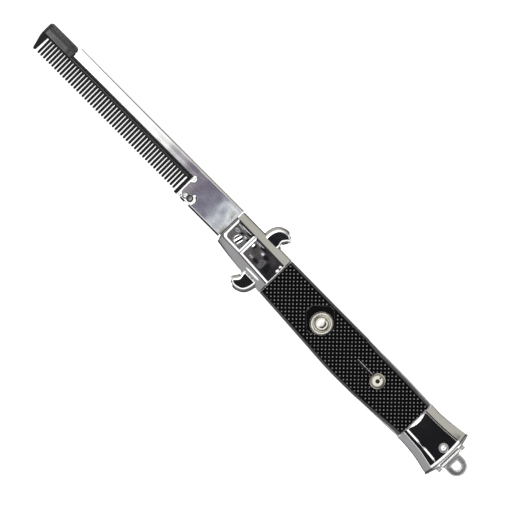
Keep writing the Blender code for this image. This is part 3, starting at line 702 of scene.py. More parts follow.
def plate(x, mouth, spine, side_top, y, z, side):
    """A plate of the handle: each station's section is a closed loop, up its sides and over its top.

    x is (stations,), or (stations, columns) where an end is curved. y and z are (stations, columns).
    """
    base = np.full(len(mouth), PLATE_BASE)
    chamfer = 0.05 * MM

    def wall(edge_y, first, inward):
        """The base corner, the upright side and its soft edge, up to the first column."""
        inner = np.stack((edge_y + inward * chamfer, base), axis=-1)
        foot = np.stack((edge_y, base + chamfer), axis=-1)
        corner = np.stack((edge_y, side_top), axis=-1)
        rise = np.stack((y[:, first], z[:, first]), axis=-1)
        turn = bend(foot, corner, rise, EDGE_SOFT)
        return np.concatenate((inner[:, None, :], foot[:, None, :], turn), axis=1)

    low_wall, high_wall = wall(mouth, 0, 1), wall(spine, -1, -1)[:, ::-1]
    section = np.concatenate((low_wall, np.stack((y, z), axis=-1), high_wall), axis=1)
    if x.ndim == 1:
        along = np.broadcast_to(x[:, None], section.shape[:2])
    else:
        extra = low_wall.shape[1]
        before, after = np.repeat(x[:, :1], extra, axis=1), np.repeat(x[:, -1:], extra, axis=1)
        along = np.concatenate((before, x, after), axis=1)
    return tube(np.stack((along, section[..., 0], side * section[..., 1]), axis=-1))


def bands(mouth, low, high, spine, low_ledge, high_ledge, bevel, count):
    """Columns for a plate with a panel: the mouth's band, a ledge, the panel, a ledge, the spine's band."""
    share = BAND_COLUMNS[None, :]
    step = LEDGE_COLUMNS[None, :]
    low_band = mouth[:, None] + (low - low_ledge - mouth)[:, None] * share
    high_band = spine[:, None] + (high + high_ledge - spine)[:, None] * share[:, ::-1]
    low_step = (low - low_ledge)[:, None] + low_ledge[:, None] * step
    high_step = high[:, None] + high_ledge[:, None] * step
    panel = across(low, high, count, bevel)
    return np.concatenate((low_band, low_step, panel, high_step, high_band), axis=1)


def band_height(y, mouth, low, high, spine, side_top, level):
    """Height of the sloping bands: level over the ledges, then down to the sides, steepest at the edge.

    The fall is linear in the share of the band, with a small part of it as a sixth power.
    """
    steep_power = 6
    low_share = (low[:, None] - y) / (low - mouth)[:, None]
    high_share = (y - high[:, None]) / (spine - high)[:, None]
    share = np.clip(np.maximum(low_share, high_share), 0, 1)
    return level - (level - side_top) * ((1 - STEEP_SHARE) * share + STEEP_SHARE * share**steep_power)


def rounded_inside(from_x, from_y, corner):
    """How far inside two walls a point lies, where the corner between them is rounded."""
    near = (from_x < corner) & (from_y < corner)
    return np.where(near, corner - np.hypot(corner - from_x, corner - from_y), np.minimum(from_x, from_y))


def dented(x, y):
    """The sum of the panels' shallow dents, each a bell of its own reach."""
    total = np.zeros(x.shape)
    for place_x, place_y, reach_x, reach_y, height in DENTS:
        away = ((x / MM - place_x) / reach_x)**2 + ((y / MM - place_y) / reach_y)**2
        total += height * MM * np.exp(-away)
    return total


def bolster_shell(side, bevel):
    """The front or back bolster: sloping bands and two raised panels with a groove between them.

    The height is the bands' height, plus the panels' rise by how far a point is inside their bevels, plus
    the dents and the seat of the guard, less the drop towards either end.
    """
    spacing, columns = 0.2 * MM, 40
    end_soft, end_slope = 0.45 * MM, 38.0
    most_side_drop = 0.35 * MM
    near, far = PANEL_SPLIT - SPLIT_WIDTH / 2, PANEL_SPLIT + SPLIT_WIDTH / 2
    x = stations(*BOLSTER_X, spacing, (PANEL_FRONT, near, far), bevel)
    mouth = edge(x, MOUTH) + np.maximum(0.0, CORNER_CUT_START - x) * CORNER_CUT_SLOPE
    spine = edge(x, SPINE)
    high = np.interp(x, BOLSTER_PANEL[:, 0], BOLSTER_PANEL[:, 1])
    low = np.interp(x, BOLSTER_PANEL[:, 0], BOLSTER_PANEL[:, 2])
    low_ledge = np.full(len(x), LEDGE)
    high_ledge = np.full(len(x), SPINE_LEDGE)
    y = bands(mouth, low, high, spine, low_ledge, high_ledge, bevel, columns)
    along = np.broadcast_to(x[:, None], y.shape)
    from_low, from_high = y - low[:, None], high[:, None] - y
    crisper = bevel / SPLIT_BEVEL
    from_front = rounded_inside(along - PANEL_FRONT, from_low, PANEL_CORNER)
    first = np.minimum.reduce((from_front, from_high, crisper * (near - along)))
    second = np.minimum.reduce((crisper * (along - far), from_low, from_high))
    inside = np.clip(np.maximum(first, second) / bevel, 0, 1)
    rise = PANEL_RISE * inside + dented(along, y) * ease(inside)
    seat_place, seat_reach, seat_height = GUARD_SEAT
    seat = np.exp(-((along - seat_place[0]) / seat_reach[0])**4 - ((y - seat_place[1]) / seat_reach[1])**2)
    level = PANEL_TOP - PANEL_RISE
    body = band_height(y, mouth, low - low_ledge, high + high_ledge, spine, SIDE_TOP, level)
    front = PANEL_FRONT - LEDGE
    drop = FRONT_DROP * np.clip((front - x) / (front - BOLSTER_X[0]), 0, 1)
    drop = drop + round_over(BOLSTER_X[1] - x, end_soft, end_slope)
    drop = drop + BOLSTER_FALL * np.maximum(x - BOLSTER_X[0], 0)
    z = body + rise - drop[:, None] + seat_height * seat
    return plate(x, mouth, spine, SIDE_TOP - np.minimum(drop, most_side_drop), y, z, side)


def hook_shell(side, turn, soft):
    """One hooked guard: columns from its inner curve to its back curve, rounded over along both.

    The top falls by slopes with the gap to the nearer curve, on a reach that narrows with the guard's own
    width. The guard on the mouth's side also drops a little at its root, and further under the bolster.
    """
    steps, columns = 64, 33
    most_of_width = 0.48
    under_soft, thinnest = 0.3 * MM, 0.05 * MM
    root_drop, root_reach = 0.16 * MM, 0.7 * MM
    hidden_drop, hidden_reach = 0.9 * MM, 0.2 * MM
    back = smooth_through(HOOK_BACK, steps)
    inner = smooth_through(HOOK_INNER, steps)
    share = 0.5 - 0.5 * np.cos(np.linspace(0, np.pi, columns))
    plan = inner[:, None, :] + (back - inner)[:, None, :] * share[None, :, None]
    plan = GUARD_CENTRE + turn * plan
    width = np.linalg.norm(back - inner, axis=1)[:, None]
    gap = np.minimum(share, 1 - share)[None, :] * width
    reach = np.minimum(soft, most_of_width * width)
    fall = fall_by_slopes(gap * soft / reach, soft * GUARD_MARKS, GUARD_SLOPES) * reach / soft
    top = SPINE_GUARD_TOP - fall
    if turn < 0:
        past_root = MOUTH_GUARD_ROOT - plan[..., 1]
        root = root_drop * (1 - np.clip(past_root / root_reach, 0, 1))
        hidden = hidden_drop * np.clip(-past_root / hidden_reach, 0, 1)
        top = MOUTH_GUARD_TOP - fall - root - hidden
    top = top - GUARD_TILT * (plan[..., 0] - GUARD_CENTRE[0])
    under = np.broadcast_to(GUARD_BOTTOM + round_over(gap, np.minimum(under_soft, reach)), top.shape)
    upper = np.concatenate((plan, side * top[..., None]), axis=-1)
    lower = np.concatenate((plan, side * np.minimum(under, top - thinnest)[..., None]), axis=-1)
    return slab(upper, lower)


def checkering(x, y, pitch, height):
    """Pyramids on a lattice turned 45 degrees: their height, and 1 at a point to 0 in a groove."""
    blunted = 1.25
    across_x, across_y = x / pitch[0], y / pitch[1]
    first, second = (across_x + across_y) / 2, (across_x - across_y) / 2
    groove = 1 - 2 * np.maximum(np.abs(first - np.round(first)), np.abs(second - np.round(second)))
    return height * np.minimum(groove * blunted, 1.0), groove


def grip_shell(side, grip):
    """A grip scale and where its painted highlight falls: pyramids over its top, none round the button.

    The height is a crown from side to side, plus the pyramids where they cover it, plus a thin line round
    the plain field, less the soft ends. Points of pyramids, the line and the bare edges count as raised, and
    the grip's material paints them lighter as highlight and sheen.
    """
    spacing, columns = 0.165 * MM, 118
    crown_power, sunk_share = 1.5, 0.6
    bare_edge, edge_fade, field_fade = 0.7 * MM, 0.9 * MM, 0.25 * MM
    line_height, line_width = 0.16 * MM, 0.13 * MM
    end_soft, end_top_share, end_side_share = 0.3 * MM, 0.8, 0.5
    line_sheen, sheen_width = 0.85, 0.1 * MM
    edge_sheen, sheen_start = 0.61, 0.8 * MM
    x = stations(*SCALE_X, spacing, (), end_soft)
    mouth = edge(x, MOUTH) + np.interp(x, *MOUTH_STRIP)
    spine = edge(x, SPINE) - np.interp(x, *SPINE_STRIP)
    share = np.linspace(0, 1, columns)[None, 1:-1]
    y = mouth[:, None] + (spine - mouth)[:, None] * share
    along = np.broadcast_to(x[:, None], y.shape)
    from_edge = np.minimum(y - mouth[:, None], spine[:, None] - y)
    slope = 1 - (1 - np.clip(from_edge / SCALE_BEVEL, 0, 1))**crown_power
    level = SCALE_TOP - grip.checker_height * sunk_share
    body = SCALE_SIDE_TOP + (level - SCALE_SIDE_TOP) * slope
    relief, groove = checkering(along, y, (grip.checker_length / 2, grip.checker_width), grip.checker_height)
    plain = beyond_plain_field(along, y)
    if side < 0:
        plain = np.full_like(plain, 1.0)
    covered = ease((from_edge - bare_edge) / edge_fade) * ease(plain / field_fade)
    frame_line = line_height * np.exp(-(plain / line_width)**2)
    fall = round_over(np.minimum(x - SCALE_X[0], SCALE_X[1] - x), end_soft)
    z = body + relief * covered + frame_line - fall[:, None] * end_top_share
    shell = plate(x, mouth, spine, SCALE_SIDE_TOP - fall * end_side_share, y, z, side)
    # The raised mark paints a lighter tone: a highlight on the points, a sheen along the line and the bare edges
    raised = np.clip(groove, 0, 1) * covered
    raised = np.maximum(raised, line_sheen * np.exp(-(plain / sheen_width)**2))
    raised = np.maximum(raised, edge_sheen * (1 - ease((from_edge - sheen_start) / edge_fade)))
    walls = (shell[0].shape[0] // len(x) - y.shape[1]) // 2
    return shell, np.pad(raised, ((0, 0), (walls, walls))).ravel()


def beyond_plain_field(along, y):
    """How far outside the plain field round the button a point lies: a diamond with its points cut off."""
    away_x, away_y = np.abs(along - PLAIN_CENTRE[0]), np.abs(y - PLAIN_CENTRE[1])
    lean, reach, scale = PLAIN_DIAMOND
    diamond = (lean * away_x + away_y - reach) / scale
    return np.maximum.reduce((away_x - PLAIN_HALF[0], diamond, away_y - PLAIN_HALF[1]))


def rear_shell(side, bevel):
    """The flared butt cap: bands, a long panel with a bowed front bevel, and a raised bead across its end.

    The rows run from a straight front to a bowed ridge, and on to a bowed end. The height is the bands'
    height, plus the panel's rise inside its four bevels, plus the bead, less the drop past the bead.
    """
    ridge_share, columns = 0.86, 36
    bead_rows, end_rows = np.linspace(-0.055, 0.055, 17), np.linspace(0, 0.02, 5)
    arc_half, ridge_bow, end_bow = 11 * MM, 1.2 * MM, 1.7 * MM
    bow_start, bow_centre, bow_half = 0.05 * MM, 1.2 * MM, 3.7 * MM
    bow_least, bow_most = 0.12 * MM, 1.0 * MM
    worn_place, worn_half, worn_share = 102.4 * MM, 1.5 * MM, 0.8
    worn_end, worn_fade = 109.2 * MM, 0.8 * MM
    low_share, high_share, ridge_bevel = 0.9, 0.345, 0.1 * MM
    ledge_sag = 0.04 * MM
    bead_after_ridge, bead_flank = 0.6 * MM, 0.25 * MM
    bead_half, bead_height = 0.55 * MM, 0.13 * MM
    corner_start, corner_fade = 4.0 * MM, 2.5 * MM
    end_soft, end_slope = 0.3 * MM, 35.0
    thinnest, most_side_drop = 0.3 * MM, 0.8 * MM

    share = np.unique(np.concatenate((np.linspace(0, 1, 60), np.linspace(0, 0.14, 20),
                                      ridge_share + bead_rows, 1 - end_rows)))
    straight = REAR_X[0] + (REAR_X[1] - REAR_X[0]) * share
    spine, mouth = edge(straight, SPINE), edge(straight, MOUTH)
    high = np.interp(straight, REAR_PANEL[:, 0], REAR_PANEL[:, 1])
    low = np.interp(straight, REAR_PANEL[:, 0], REAR_PANEL[:, 2])
    low_ledge = np.interp(straight, REAR_PANEL[:, 0], REAR_LEDGE)
    high_ledge = np.full(len(share), SPINE_LEDGE)
    y = bands(mouth, low, high, spine, low_ledge, high_ledge, bevel, columns)
    away = (y - (REAR_PANEL[-1, 1] + REAR_PANEL[-1, 2]) / 2) / arc_half
    ridge = REAR_RIDGE - ridge_bow * away**2
    end = REAR_X[1] - end_bow * away**2
    t = share[:, None]
    x = np.where(t < ridge_share, REAR_X[0] + (ridge - REAR_X[0]) * t / ridge_share,
                 ridge + (end - ridge) * (t - ridge_share) / (1 - ridge_share))

    bow = bow_least + bow_most * np.clip(1 - ((y - bow_centre) / bow_half)**2, 0, 1)
    front = np.clip((x - REAR_X[0] - bow_start) / bow, 0, 1)
    reflection_stand_in = np.exp(-((x - worn_place) / worn_half)**4) + ease((x - worn_end) / worn_fade)
    low_bevel = np.clip((y - low[:, None]) / (low_share * bevel * (1 - worn_share * reflection_stand_in)), 0, 1)
    high_bevel = np.clip((high[:, None] - y) / (high_share * bevel), 0, 1)
    back = np.clip((ridge - x) / ridge_bevel, 0, 1)
    rise = PANEL_RISE * np.minimum.reduce((front, low_bevel, high_bevel, back))
    sag = ledge_sag * np.clip((low[:, None] - y) / low_ledge[:, None], 0, 1)
    level = PANEL_TOP - PANEL_RISE - sag
    body = band_height(y, mouth, low - low_ledge, high + high_ledge, spine, REAR_SIDE_TOP, level)

    bead_centre = ridge + bead_after_ridge
    bead = bead_height * np.clip(1 - ((x - bead_centre) / bead_half)**2, 0, 1)
    after_bead = bead_centre + bead_flank
    fall = np.clip((x - after_bead) / (end - after_bead), 0, 1)
    corner = ease((np.abs(y - BAIL_AXIS[1]) - corner_start) / corner_fade)
    fall = (REAR_DROP + REAR_CORNER_DROP * corner) * fall
    fall = fall + round_over(np.maximum(end - x, 0), end_soft, end_slope)
    z = np.maximum(body + rise + bead - fall, PLATE_BASE + thinnest)
    return plate(x, mouth, spine, REAR_SIDE_TOP - np.minimum(fall[:, 0], most_side_drop), y, z, side)


def button_profile(low, high, height):
    """The button's outline: a stem, a flange with a round rim, a groove, a crown that falls as a power."""
    stem_radius, flange_radius = 2.4 * MM, 4.0 * MM
    flange_low, chamfer = 4.6 * MM, 0.15 * MM
    rim_radius, rim_wide, rim_high = 3.68 * MM, 0.47 * MM, 0.42 * MM
    crown_radius, crown_sunk, crown_power = 3.2 * MM, 0.14 * MM, 5
    groove, groove_side = 0.46 * MM, 0.1 * MM
    flange = high - height + 0.25 * MM
    sweep = np.radians(np.linspace(0, 130, 14))
    rim = np.stack((rim_radius + rim_wide * np.cos(sweep), flange + rim_high * np.sin(sweep)), axis=-1)
    share = np.concatenate(((1.0, 0.997, 0.985, 0.965), np.linspace(0.94, 0.02, 26)))
    crown = high - crown_sunk - (high - flange - groove) * share**crown_power
    inner = np.stack((crown_radius * share, crown), axis=-1)
    inner = np.concatenate((((crown_radius, flange + groove_side),), inner))
    stem = np.array(((AXIS_GAP, low), (stem_radius, low), (stem_radius, flange_low),
                     (flange_radius, flange_low), (flange_radius + chamfer, flange_low + chamfer)))
    return np.concatenate((stem, rim, inner))


def knob_profile(seat, high):
    """The knob's outline: an upright side, a quarter ellipse up to the crown, and a dimple in its middle."""
    radius, shoulder = 3.15 * MM, 0.5 * MM
    dimple_depth, dimple_radius, dimple_fade = 0.55 * MM, 0.5 * MM, 0.35 * MM
    cap = dome(radius, seat, seat + shoulder, high - seat - shoulder, rows=30)
    out, height = cap[:, 0], cap[:, 1]
    height = height - dimple_depth * (1 - ease((out - dimple_radius) / dimple_fade))
    return np.concatenate((((AXIS_GAP, seat),), np.stack((out, height), axis=-1)))


def struck_head_shell(place, radius, level, height, rib):
    """A pin's or rivet's head: a parabola that falls by slopes at its rim, under slanted cosine ribs."""
    pitch, slant, shift, fade = 1.5 * MM, 0.25, 0.1 * MM, 3
    skirt = 0.1 * MM
    share = np.concatenate((np.linspace(0.01, 0.8, 16), np.linspace(0.83, 1.0, 12)))
    angle = np.linspace(0, 2 * np.pi, 72, endpoint=False)
    r = radius * share[:, None]
    x, y = r * np.cos(angle), r * np.sin(angle)
    ribs = rib * np.cos(2 * np.pi * (x - slant * y + shift) / pitch) * (1 - share[:, None]**fade)
    rim = fall_by_slopes(radius - r, HEAD_MARKS, HEAD_SLOPES)
    crown = level + height * (1 - share[:, None]**2) + HEAD_RISE - rim + ribs
    low = np.broadcast_to(level - skirt, (1, len(angle)))
    z = np.concatenate((crown, low, low))
    scale = np.concatenate((np.ones(len(share)), (1.0, 0.01)))[:, None]
    x, y = (np.concatenate((part, part[-1:], part[-1:])) * scale for part in (x, y))
    return tube(np.stack((place[0] + x, place[1] + y, z), axis=-1))


def box_shell(low, high, soft=0.0):
    """A block between two corners, with round upright edges."""
    corners = np.array(((low[0], low[1]), (high[0], low[1]), (high[0], high[1]), (low[0], high[1])))
    levels = np.array((low[2], high[2]))
    loops = np.stack([np.column_stack((corners, np.full(4, z))) for z in levels])
    return tube(rounded_loop(loops, soft) if soft else loops)


# Shapes of the comb and its holder

def fold_shell():
    """The folded sheet round the comb's back: a deep U, carried along the blade.

    Each side falls by slopes towards the back's crest, on a reach that narrows towards the comb's head.
    """
    spacing, end_soft, tip_soft = 4.0 * MM, 0.3 * MM, 0.12 * MM
    narrowed_share, back_thicker = 0.5, 0.1 * MM
    inner_half = HOLDER_HALF - SHEET
    u = stations(*FOLD, spacing, (), end_soft)
    narrowing = 1 - narrowed_share * ((u - FOLD[0]) / (FOLD[1] - FOLD[0]))[:, None]
    drop = fall_by_slopes(FOLD_COLUMNS / narrowing, BACK_MARKS, BACK_SLOPES) * narrowing
    half_outer = np.stack((HOLDER_BACK - FOLD_COLUMNS, np.full(len(FOLD_COLUMNS), HOLDER_HALF)), axis=-1)
    outer = np.concatenate((half_outer, half_outer[::-1] * MIRROR))
    turn = np.radians(np.linspace(-90, 90, 13))
    inner_centre = HOLDER_BACK - HOLDER_HALF - back_thicker
    inner = np.stack((inner_centre + inner_half * np.cos(turn), inner_half * np.sin(turn)), axis=-1)
    middle, half = (HOLDER_HALF + inner_half) / 2, SHEET / 2
    lip = np.radians(np.linspace(-90, 90, 9))
    low_lip = np.stack((HOLDER_LIP + half * (1 - np.cos(lip)), -middle + half * np.sin(lip)), axis=-1)
    high_lip = low_lip[::-1] * MIRROR
    section = np.concatenate((outer, low_lip, inner, high_lip[::-1]))
    pinch = 1 - round_over(FOLD[1] - u, tip_soft)[:, None] / HOLDER_HALF
    across_v = np.broadcast_to(section[:, 0], (len(u), len(section)))
    rounding = np.zeros(across_v.shape)
    rounding[:, :2 * len(FOLD_COLUMNS)] = np.concatenate((drop, -drop[:, ::-1]), axis=1)
    height = (section[:, 1] - rounding) * pinch
    return tube(np.stack((np.broadcast_to(u[:, None], height.shape), across_v, height), axis=-1))


def ricasso_shell(depth):
    """The flat ricasso and tang: a face that falls by slopes at both long edges.

    A punched ring has a rim that swells on one side and a nick beside it. Two round corners are pressed out
    by the comb, and the end is soft below the folded sheet.
    """
    spacing, mark_reach, columns, edge_reach = 0.16 * MM, 0.3 * MM, 84, 0.5 * MM
    end_soft, end_slope, end_overlap = 0.3 * MM, 25.0, 0.4 * MM
    ring_radius, ring_side = 1.15 * MM, 0.25 * MM
    rim_radius, rim_width, rim_height = 1.9 * MM, 0.42 * MM, 0.2 * MM
    nearest = 0.1 * MM
    swell_level, swell_gain, swell_towards = 0.1, 0.9, (0.9, 0.44)
    nick_place, nick_share = (2.2 * MM, -0.3 * MM), 0.5
    nick_radius, nick_side = 0.2 * MM, 0.45 * MM
    pressed_place, pressed_squeeze = (27.7 * MM, 4.1 * MM), 0.8
    pressed_radius, pressed_height = 0.2 * MM, 0.2 * MM
    foot_place, foot_radius, foot_height = (27.6 * MM, -3.6 * MM), 0.3 * MM, 0.12 * MM
    corner_side = 0.9 * MM

    u = stations(-TANG_RADIUS + AXIS_GAP, RICASSO_END, spacing, (SHOULDER,), mark_reach)
    circle = np.sqrt(np.maximum(TANG_RADIUS**2 - np.minimum(u, 0)**2, 0))
    top_v = np.where(u < SHOULDER, np.minimum(circle, TANG_RADIUS), HOLDER_BACK)
    low_v = np.maximum(-circle, RICASSO_EDGE)
    v = across(low_v, top_v, columns, edge_reach)
    along = np.broadcast_to(u[:, None], v.shape)
    from_low, from_top = v - low_v[:, None], top_v[:, None] - v
    below_fold = 1 - ease((v - HOLDER_LIP + end_overlap) / end_overlap)
    fall = fall_by_slopes(from_low, LOW_MARKS, LOW_SLOPES)
    fall = fall + fall_by_slopes(from_top, BACK_MARKS, BACK_SLOPES)
    fall = fall + round_over(RICASSO_END - along, end_soft, end_slope) * below_fold

    away_u, away_v = along - DIMPLE[0], v - DIMPLE[1]
    away = np.hypot(away_u, away_v)
    dimple = depth * (1 - ease((away - ring_radius) / ring_side))
    towards = (swell_towards[0] * away_u + swell_towards[1] * away_v) / np.maximum(away, nearest)
    rim = rim_height * np.clip(swell_level - swell_gain * towards, 0, 1)
    rim = rim * np.exp(-((away - rim_radius) / rim_width)**2)
    from_nick = np.hypot(away_u - nick_place[0], away_v - nick_place[1])
    nick = nick_share * depth * (1 - ease((from_nick - nick_radius) / nick_side))
    from_pressed = np.hypot(along - pressed_place[0], pressed_squeeze * (v - pressed_place[1]))
    pressed = pressed_height * (1 - ease((from_pressed - pressed_radius) / corner_side))
    from_foot = np.hypot(along - foot_place[0], v - foot_place[1])
    foot = foot_height * (1 - ease((from_foot - foot_radius) / corner_side))

    half = RICASSO_HALF + (HOLDER_HALF - RICASSO_HALF) * ease((along - SHOULDER + MM) / MM)
    face = half - fall
    return both_faces(along, v, face + rim - np.maximum(dimple, nick) + np.maximum(pressed, foot), face)


def crimp_shells():
    """The dull pin in the punched ring, a little below the sheet's face, and a near-black ring round it that
    paints the shadow in the gap.
    """
    steps, sunk = 48, 0.12 * MM
    foot_radius, pin_radius, pin_low = 0.85 * MM, 0.9 * MM, 0.5 * MM
    crown_radius, crown_edge = 0.8 * MM, 0.1 * MM
    hollow_radius, hollow, hollow_middle = 0.4 * MM, 0.03 * MM, 0.04 * MM
    gap_radius, gap_low, gap_sunk = 1.4 * MM, 0.6 * MM, 0.2 * MM
    top = HOLDER_HALF - sunk
    disc = turned(((AXIS_GAP, pin_low), (foot_radius, pin_low), (pin_radius, top - crown_edge),
                   (crown_radius, top), (hollow_radius, top - hollow), (AXIS_GAP, top - hollow_middle)),
                  DIMPLE, steps)
    return disc, cylinder(DIMPLE, gap_radius, gap_low, top - gap_sunk, steps)


def rounded_panel(x, y, low_x, high_x, low_y, high_y, corner):
    """How far inside a rectangle with round corners each point lies."""
    centre_x, centre_y = (low_x + high_x) / 2, (low_y + high_y) / 2
    beyond_x = np.abs(x - centre_x) - (high_x - low_x) / 2 + corner
    beyond_y = np.abs(y - centre_y) - (high_y - low_y) / 2 + corner
    outside = np.hypot(np.maximum(beyond_x, 0), np.maximum(beyond_y, 0))
    return corner - outside - np.minimum(np.maximum(beyond_x, beyond_y), 0)


def head_shell(rim_width, recess):
    """The comb's head: a slab with round back corners, a raised rim and a hollowed panel on both faces.

    The hollow is deepest towards the back and towards both ends of its flat middle, and the face thins
    towards the teeth.
    """
    spacing, end_reach, columns, edge_reach = 0.25 * MM, 1.2 * MM, 34, 0.5 * MM
    corner, edge_soft, edge_slope = 1.4 * MM, 0.4 * MM, 60.0
    least, by_back, by_ends = 0.25, 0.75, 0.15
    back_fade, ends_fade, rim_fade = 1.9 * MM, 2.4 * MM, 0.35 * MM
    thinned, thinned_over = 0.45 * MM, 0.7 * MM
    foot, open_side = TOOTH_ROOT - 0.15 * MM, 4 * MM
    u = stations(*HEAD, spacing, (), end_reach)
    high = HEAD_BACK - round_over(np.minimum(u - HEAD[0], HEAD[1] - u), corner)
    v = across(np.full(len(u), foot), high, columns, edge_reach)
    along = np.broadcast_to(u[:, None], v.shape)
    inside = rounded_panel(along, v, *HEAD, foot - open_side, HEAD_BACK, corner)
    half = HOLDER_HALF - round_over(np.maximum(inside, 0), edge_soft, edge_slope)
    flat_centre, flat_half, flat_top = HEAD_FLAT
    from_flat = np.abs(along - flat_centre) - flat_half
    hollow = least + by_back * ease((v - flat_top) / back_fade) + by_ends * ease(from_flat / ends_fade)
    face = half - recess * hollow * ease((inside - rim_width) / rim_fade)
    face = face - thinned * ease((foot + thinned_over - v) / thinned_over)
    return both_faces(along, v, face, face)


def strip_shell():
    """The comb's back strip: full thickness under the holder's lips, with a bevel down to the teeth."""
    spacing, under_head, soft = 2.0 * MM, 1.5 * MM, 0.12 * MM
    u = stations(END_BLOCK[0], HEAD[0] + under_head, spacing)
    section = STRIP_SECTION + np.array((TOOTH_ROOT, 0.0))
    closed = np.concatenate((section, section[::-1] * MIRROR))
    loops = np.broadcast_to(closed, (len(u), *closed.shape))
    full = np.concatenate((np.broadcast_to(u[:, None, None], (*loops.shape[:2], 1)), loops), axis=-1)
    return tube(rounded_loop(full, soft, 3))


def block_shell():
    """The black block that ends the row of teeth beside the ricasso: it thins towards its free end."""
    low_end, soft, columns, edge_reach = -4.5 * MM, 0.3 * MM, 20, 0.4 * MM
    half, held_half = 1.2 * MM, 1.0 * MM
    thinned, thinned_from, thinned_over = 0.4 * MM, 3.2 * MM, 8 * MM
    in_holder, holder_gap = 0.4 * MM, 0.3 * MM
    u = stations(*END_BLOCK, soft, (), soft)
    low = low_end + round_over(END_BLOCK[1] - u, soft)
    v = across(low, np.full(len(u), HOLDER_LIP + in_holder), columns, edge_reach)
    along = np.broadcast_to(u[:, None], v.shape)
    fall = round_over(v - low[:, None], soft) + round_over(END_BLOCK[1] - along, soft)
    face = half - thinned * ease((thinned_from - v) / thinned_over) - fall
    face = np.where(v > HOLDER_LIP - holder_gap, np.minimum(face, held_half), face)
    return both_faces(along, v, face, face)


def end_tooth_shell():
    """The broad tooth at the head's end: a rectangle that narrows and thins from the head to a round tip."""
    rows, in_head, inner_lean = 26, 0.2 * MM, 0.35 * MM
    outer_gap, outer_extra, outer_pace = 0.02 * MM, 0.45 * MM, 0.9
    tip_soft, tip_width_share, tip_thick_share = 0.6 * MM, 0.9, 0.5
    thinned, thin_pace, corner = 0.75 * MM, 1.6, 0.35 * MM
    t = np.linspace(0, 1, rows)
    v = TOOTH_ROOT + in_head + (TOOTH_TIP - TOOTH_ROOT - in_head) * t
    close = round_over((1 - t) * (TOOTH_ROOT - TOOTH_TIP), tip_soft)
    inner = END_TOOTH[0] + inner_lean * t + close * tip_width_share
    outer = HEAD[1] - outer_gap - (HEAD[1] - END_TOOTH[1] - outer_extra) * ease(t * outer_pace)
    outer = outer - close * tip_width_share
    thick = HOLDER_HALF - thinned * ease(t * thin_pace) - close * tip_thick_share
    turns = ((inner, -1), (outer, -1), (outer, 1), (inner, 1))
    corners = np.stack([np.stack((place, v, way * thick), axis=-1) for place, way in turns], axis=1)
    return tube(rounded_loop(corners, corner))


def teeth_shells(root_half, tip_half):
    """All the teeth: each a squarish oval section that tapers from its flared root to a round tip."""
    in_strip, tip_start = 0.2 * MM, 0.92
    flare_width, flare_place, flare_reach = 0.12 * MM, 0.03, 0.045
    root_thick, tip_thick, thin_power = 0.78 * MM, 0.42 * MM, 0.8
    sides, squareness = 12, 0.7
    tip_rows = (1 - tip_start) * np.sin(np.radians((25, 50, 70, 85)))
    t = np.concatenate((np.linspace(0, tip_start, 9), tip_start + tip_rows))
    v = TOOTH_ROOT + in_strip - (TOOTH_ROOT + in_strip - TOOTH_TIP) * t
    tip = np.sqrt(np.clip(1 - ((t - tip_start) / (1 - tip_start)).clip(0, 1)**2, 0, 1))
    flare = flare_width * np.exp(-((t - flare_place) / flare_reach)**2)
    wide = (root_half + (tip_half - root_half) * t + flare) * tip
    thick = (root_thick + (tip_thick - root_thick) * t**thin_power) * tip
    angle = np.linspace(0, 2 * np.pi, sides, endpoint=False)
    oval_u, oval_z = (np.sign(wave) * np.abs(wave)**squareness for wave in (np.cos(angle), np.sin(angle)))
    u = wide[:, None] * oval_u
    z = thick[:, None] * oval_z
    one = np.stack((u, np.broadcast_to(v[:, None], u.shape), z), axis=-1)
    centres = np.linspace(FIRST_TOOTH, LAST_TOOTH, TEETH)
    return [tube(one + np.array((centre, 0.0, 0.0))) for centre in centres]


# Shapes of the bail

def bail_shells():
    """The butt's loop: a soft rectangular section carried round a D, and the barrel with its thin ends."""
    half_width, half_hole, half_thick, soft = 3.95 * MM, 1.55 * MM, 0.6 * MM, 0.58 * MM
    bow_x, bar_x, bar_share = 117.75 * MM, 115.15 * MM, 0.8
    bow_steps, leg_steps, bar_steps, spin_steps = 41, 4, 9, 48
    centre_y = BAIL_AXIS[1] - 0.4 * MM
    middle = (half_width + half_hole) / 2
    angle = np.radians(np.linspace(-90, 90, bow_steps))
    bow = np.stack((bow_x + middle * np.cos(angle), centre_y + middle * np.sin(angle)), axis=-1)
    leg = np.linspace(bow_x, bar_x, leg_steps + 2)[1:-1]
    up = np.stack((leg, np.full(leg_steps, centre_y + middle)), axis=-1)
    down = np.stack((leg[::-1], np.full(leg_steps, centre_y - middle)), axis=-1)
    across_bar = centre_y + np.linspace(middle * bar_share, -middle * bar_share, bar_steps)
    bar = np.stack((np.full(bar_steps, bar_x), across_bar), axis=-1)
    path = np.concatenate((bow, up, bar, down))
    ahead = np.roll(path, -1, axis=0) - np.roll(path, 1, axis=0)
    ahead /= np.linalg.norm(ahead, axis=1, keepdims=True)
    out = np.stack((ahead[:, 1], -ahead[:, 0]), axis=-1)
    wide = (half_width - half_hole) / 2
    corners = np.stack([np.column_stack((path + a * wide * out, np.full(len(path), b * half_thick)))
                        for a, b in ((-1, -1), (1, -1), (1, 1), (-1, 1))], axis=1)
    loop = tube(rounded_loop(corners, soft, 6), looped=True)
    place, radius = BARREL_OUTLINE.T
    spin = np.linspace(0, 2 * np.pi, spin_steps, endpoint=False)
    x = BAIL_AXIS[0] + radius[:, None] * np.cos(spin)
    z = radius[:, None] * np.sin(spin)
    y = np.broadcast_to((BAIL_AXIS[1] + place)[:, None], x.shape)
    return loop, tube(np.stack((x, y, z), axis=-1))


# Sizes and colours that a user would change

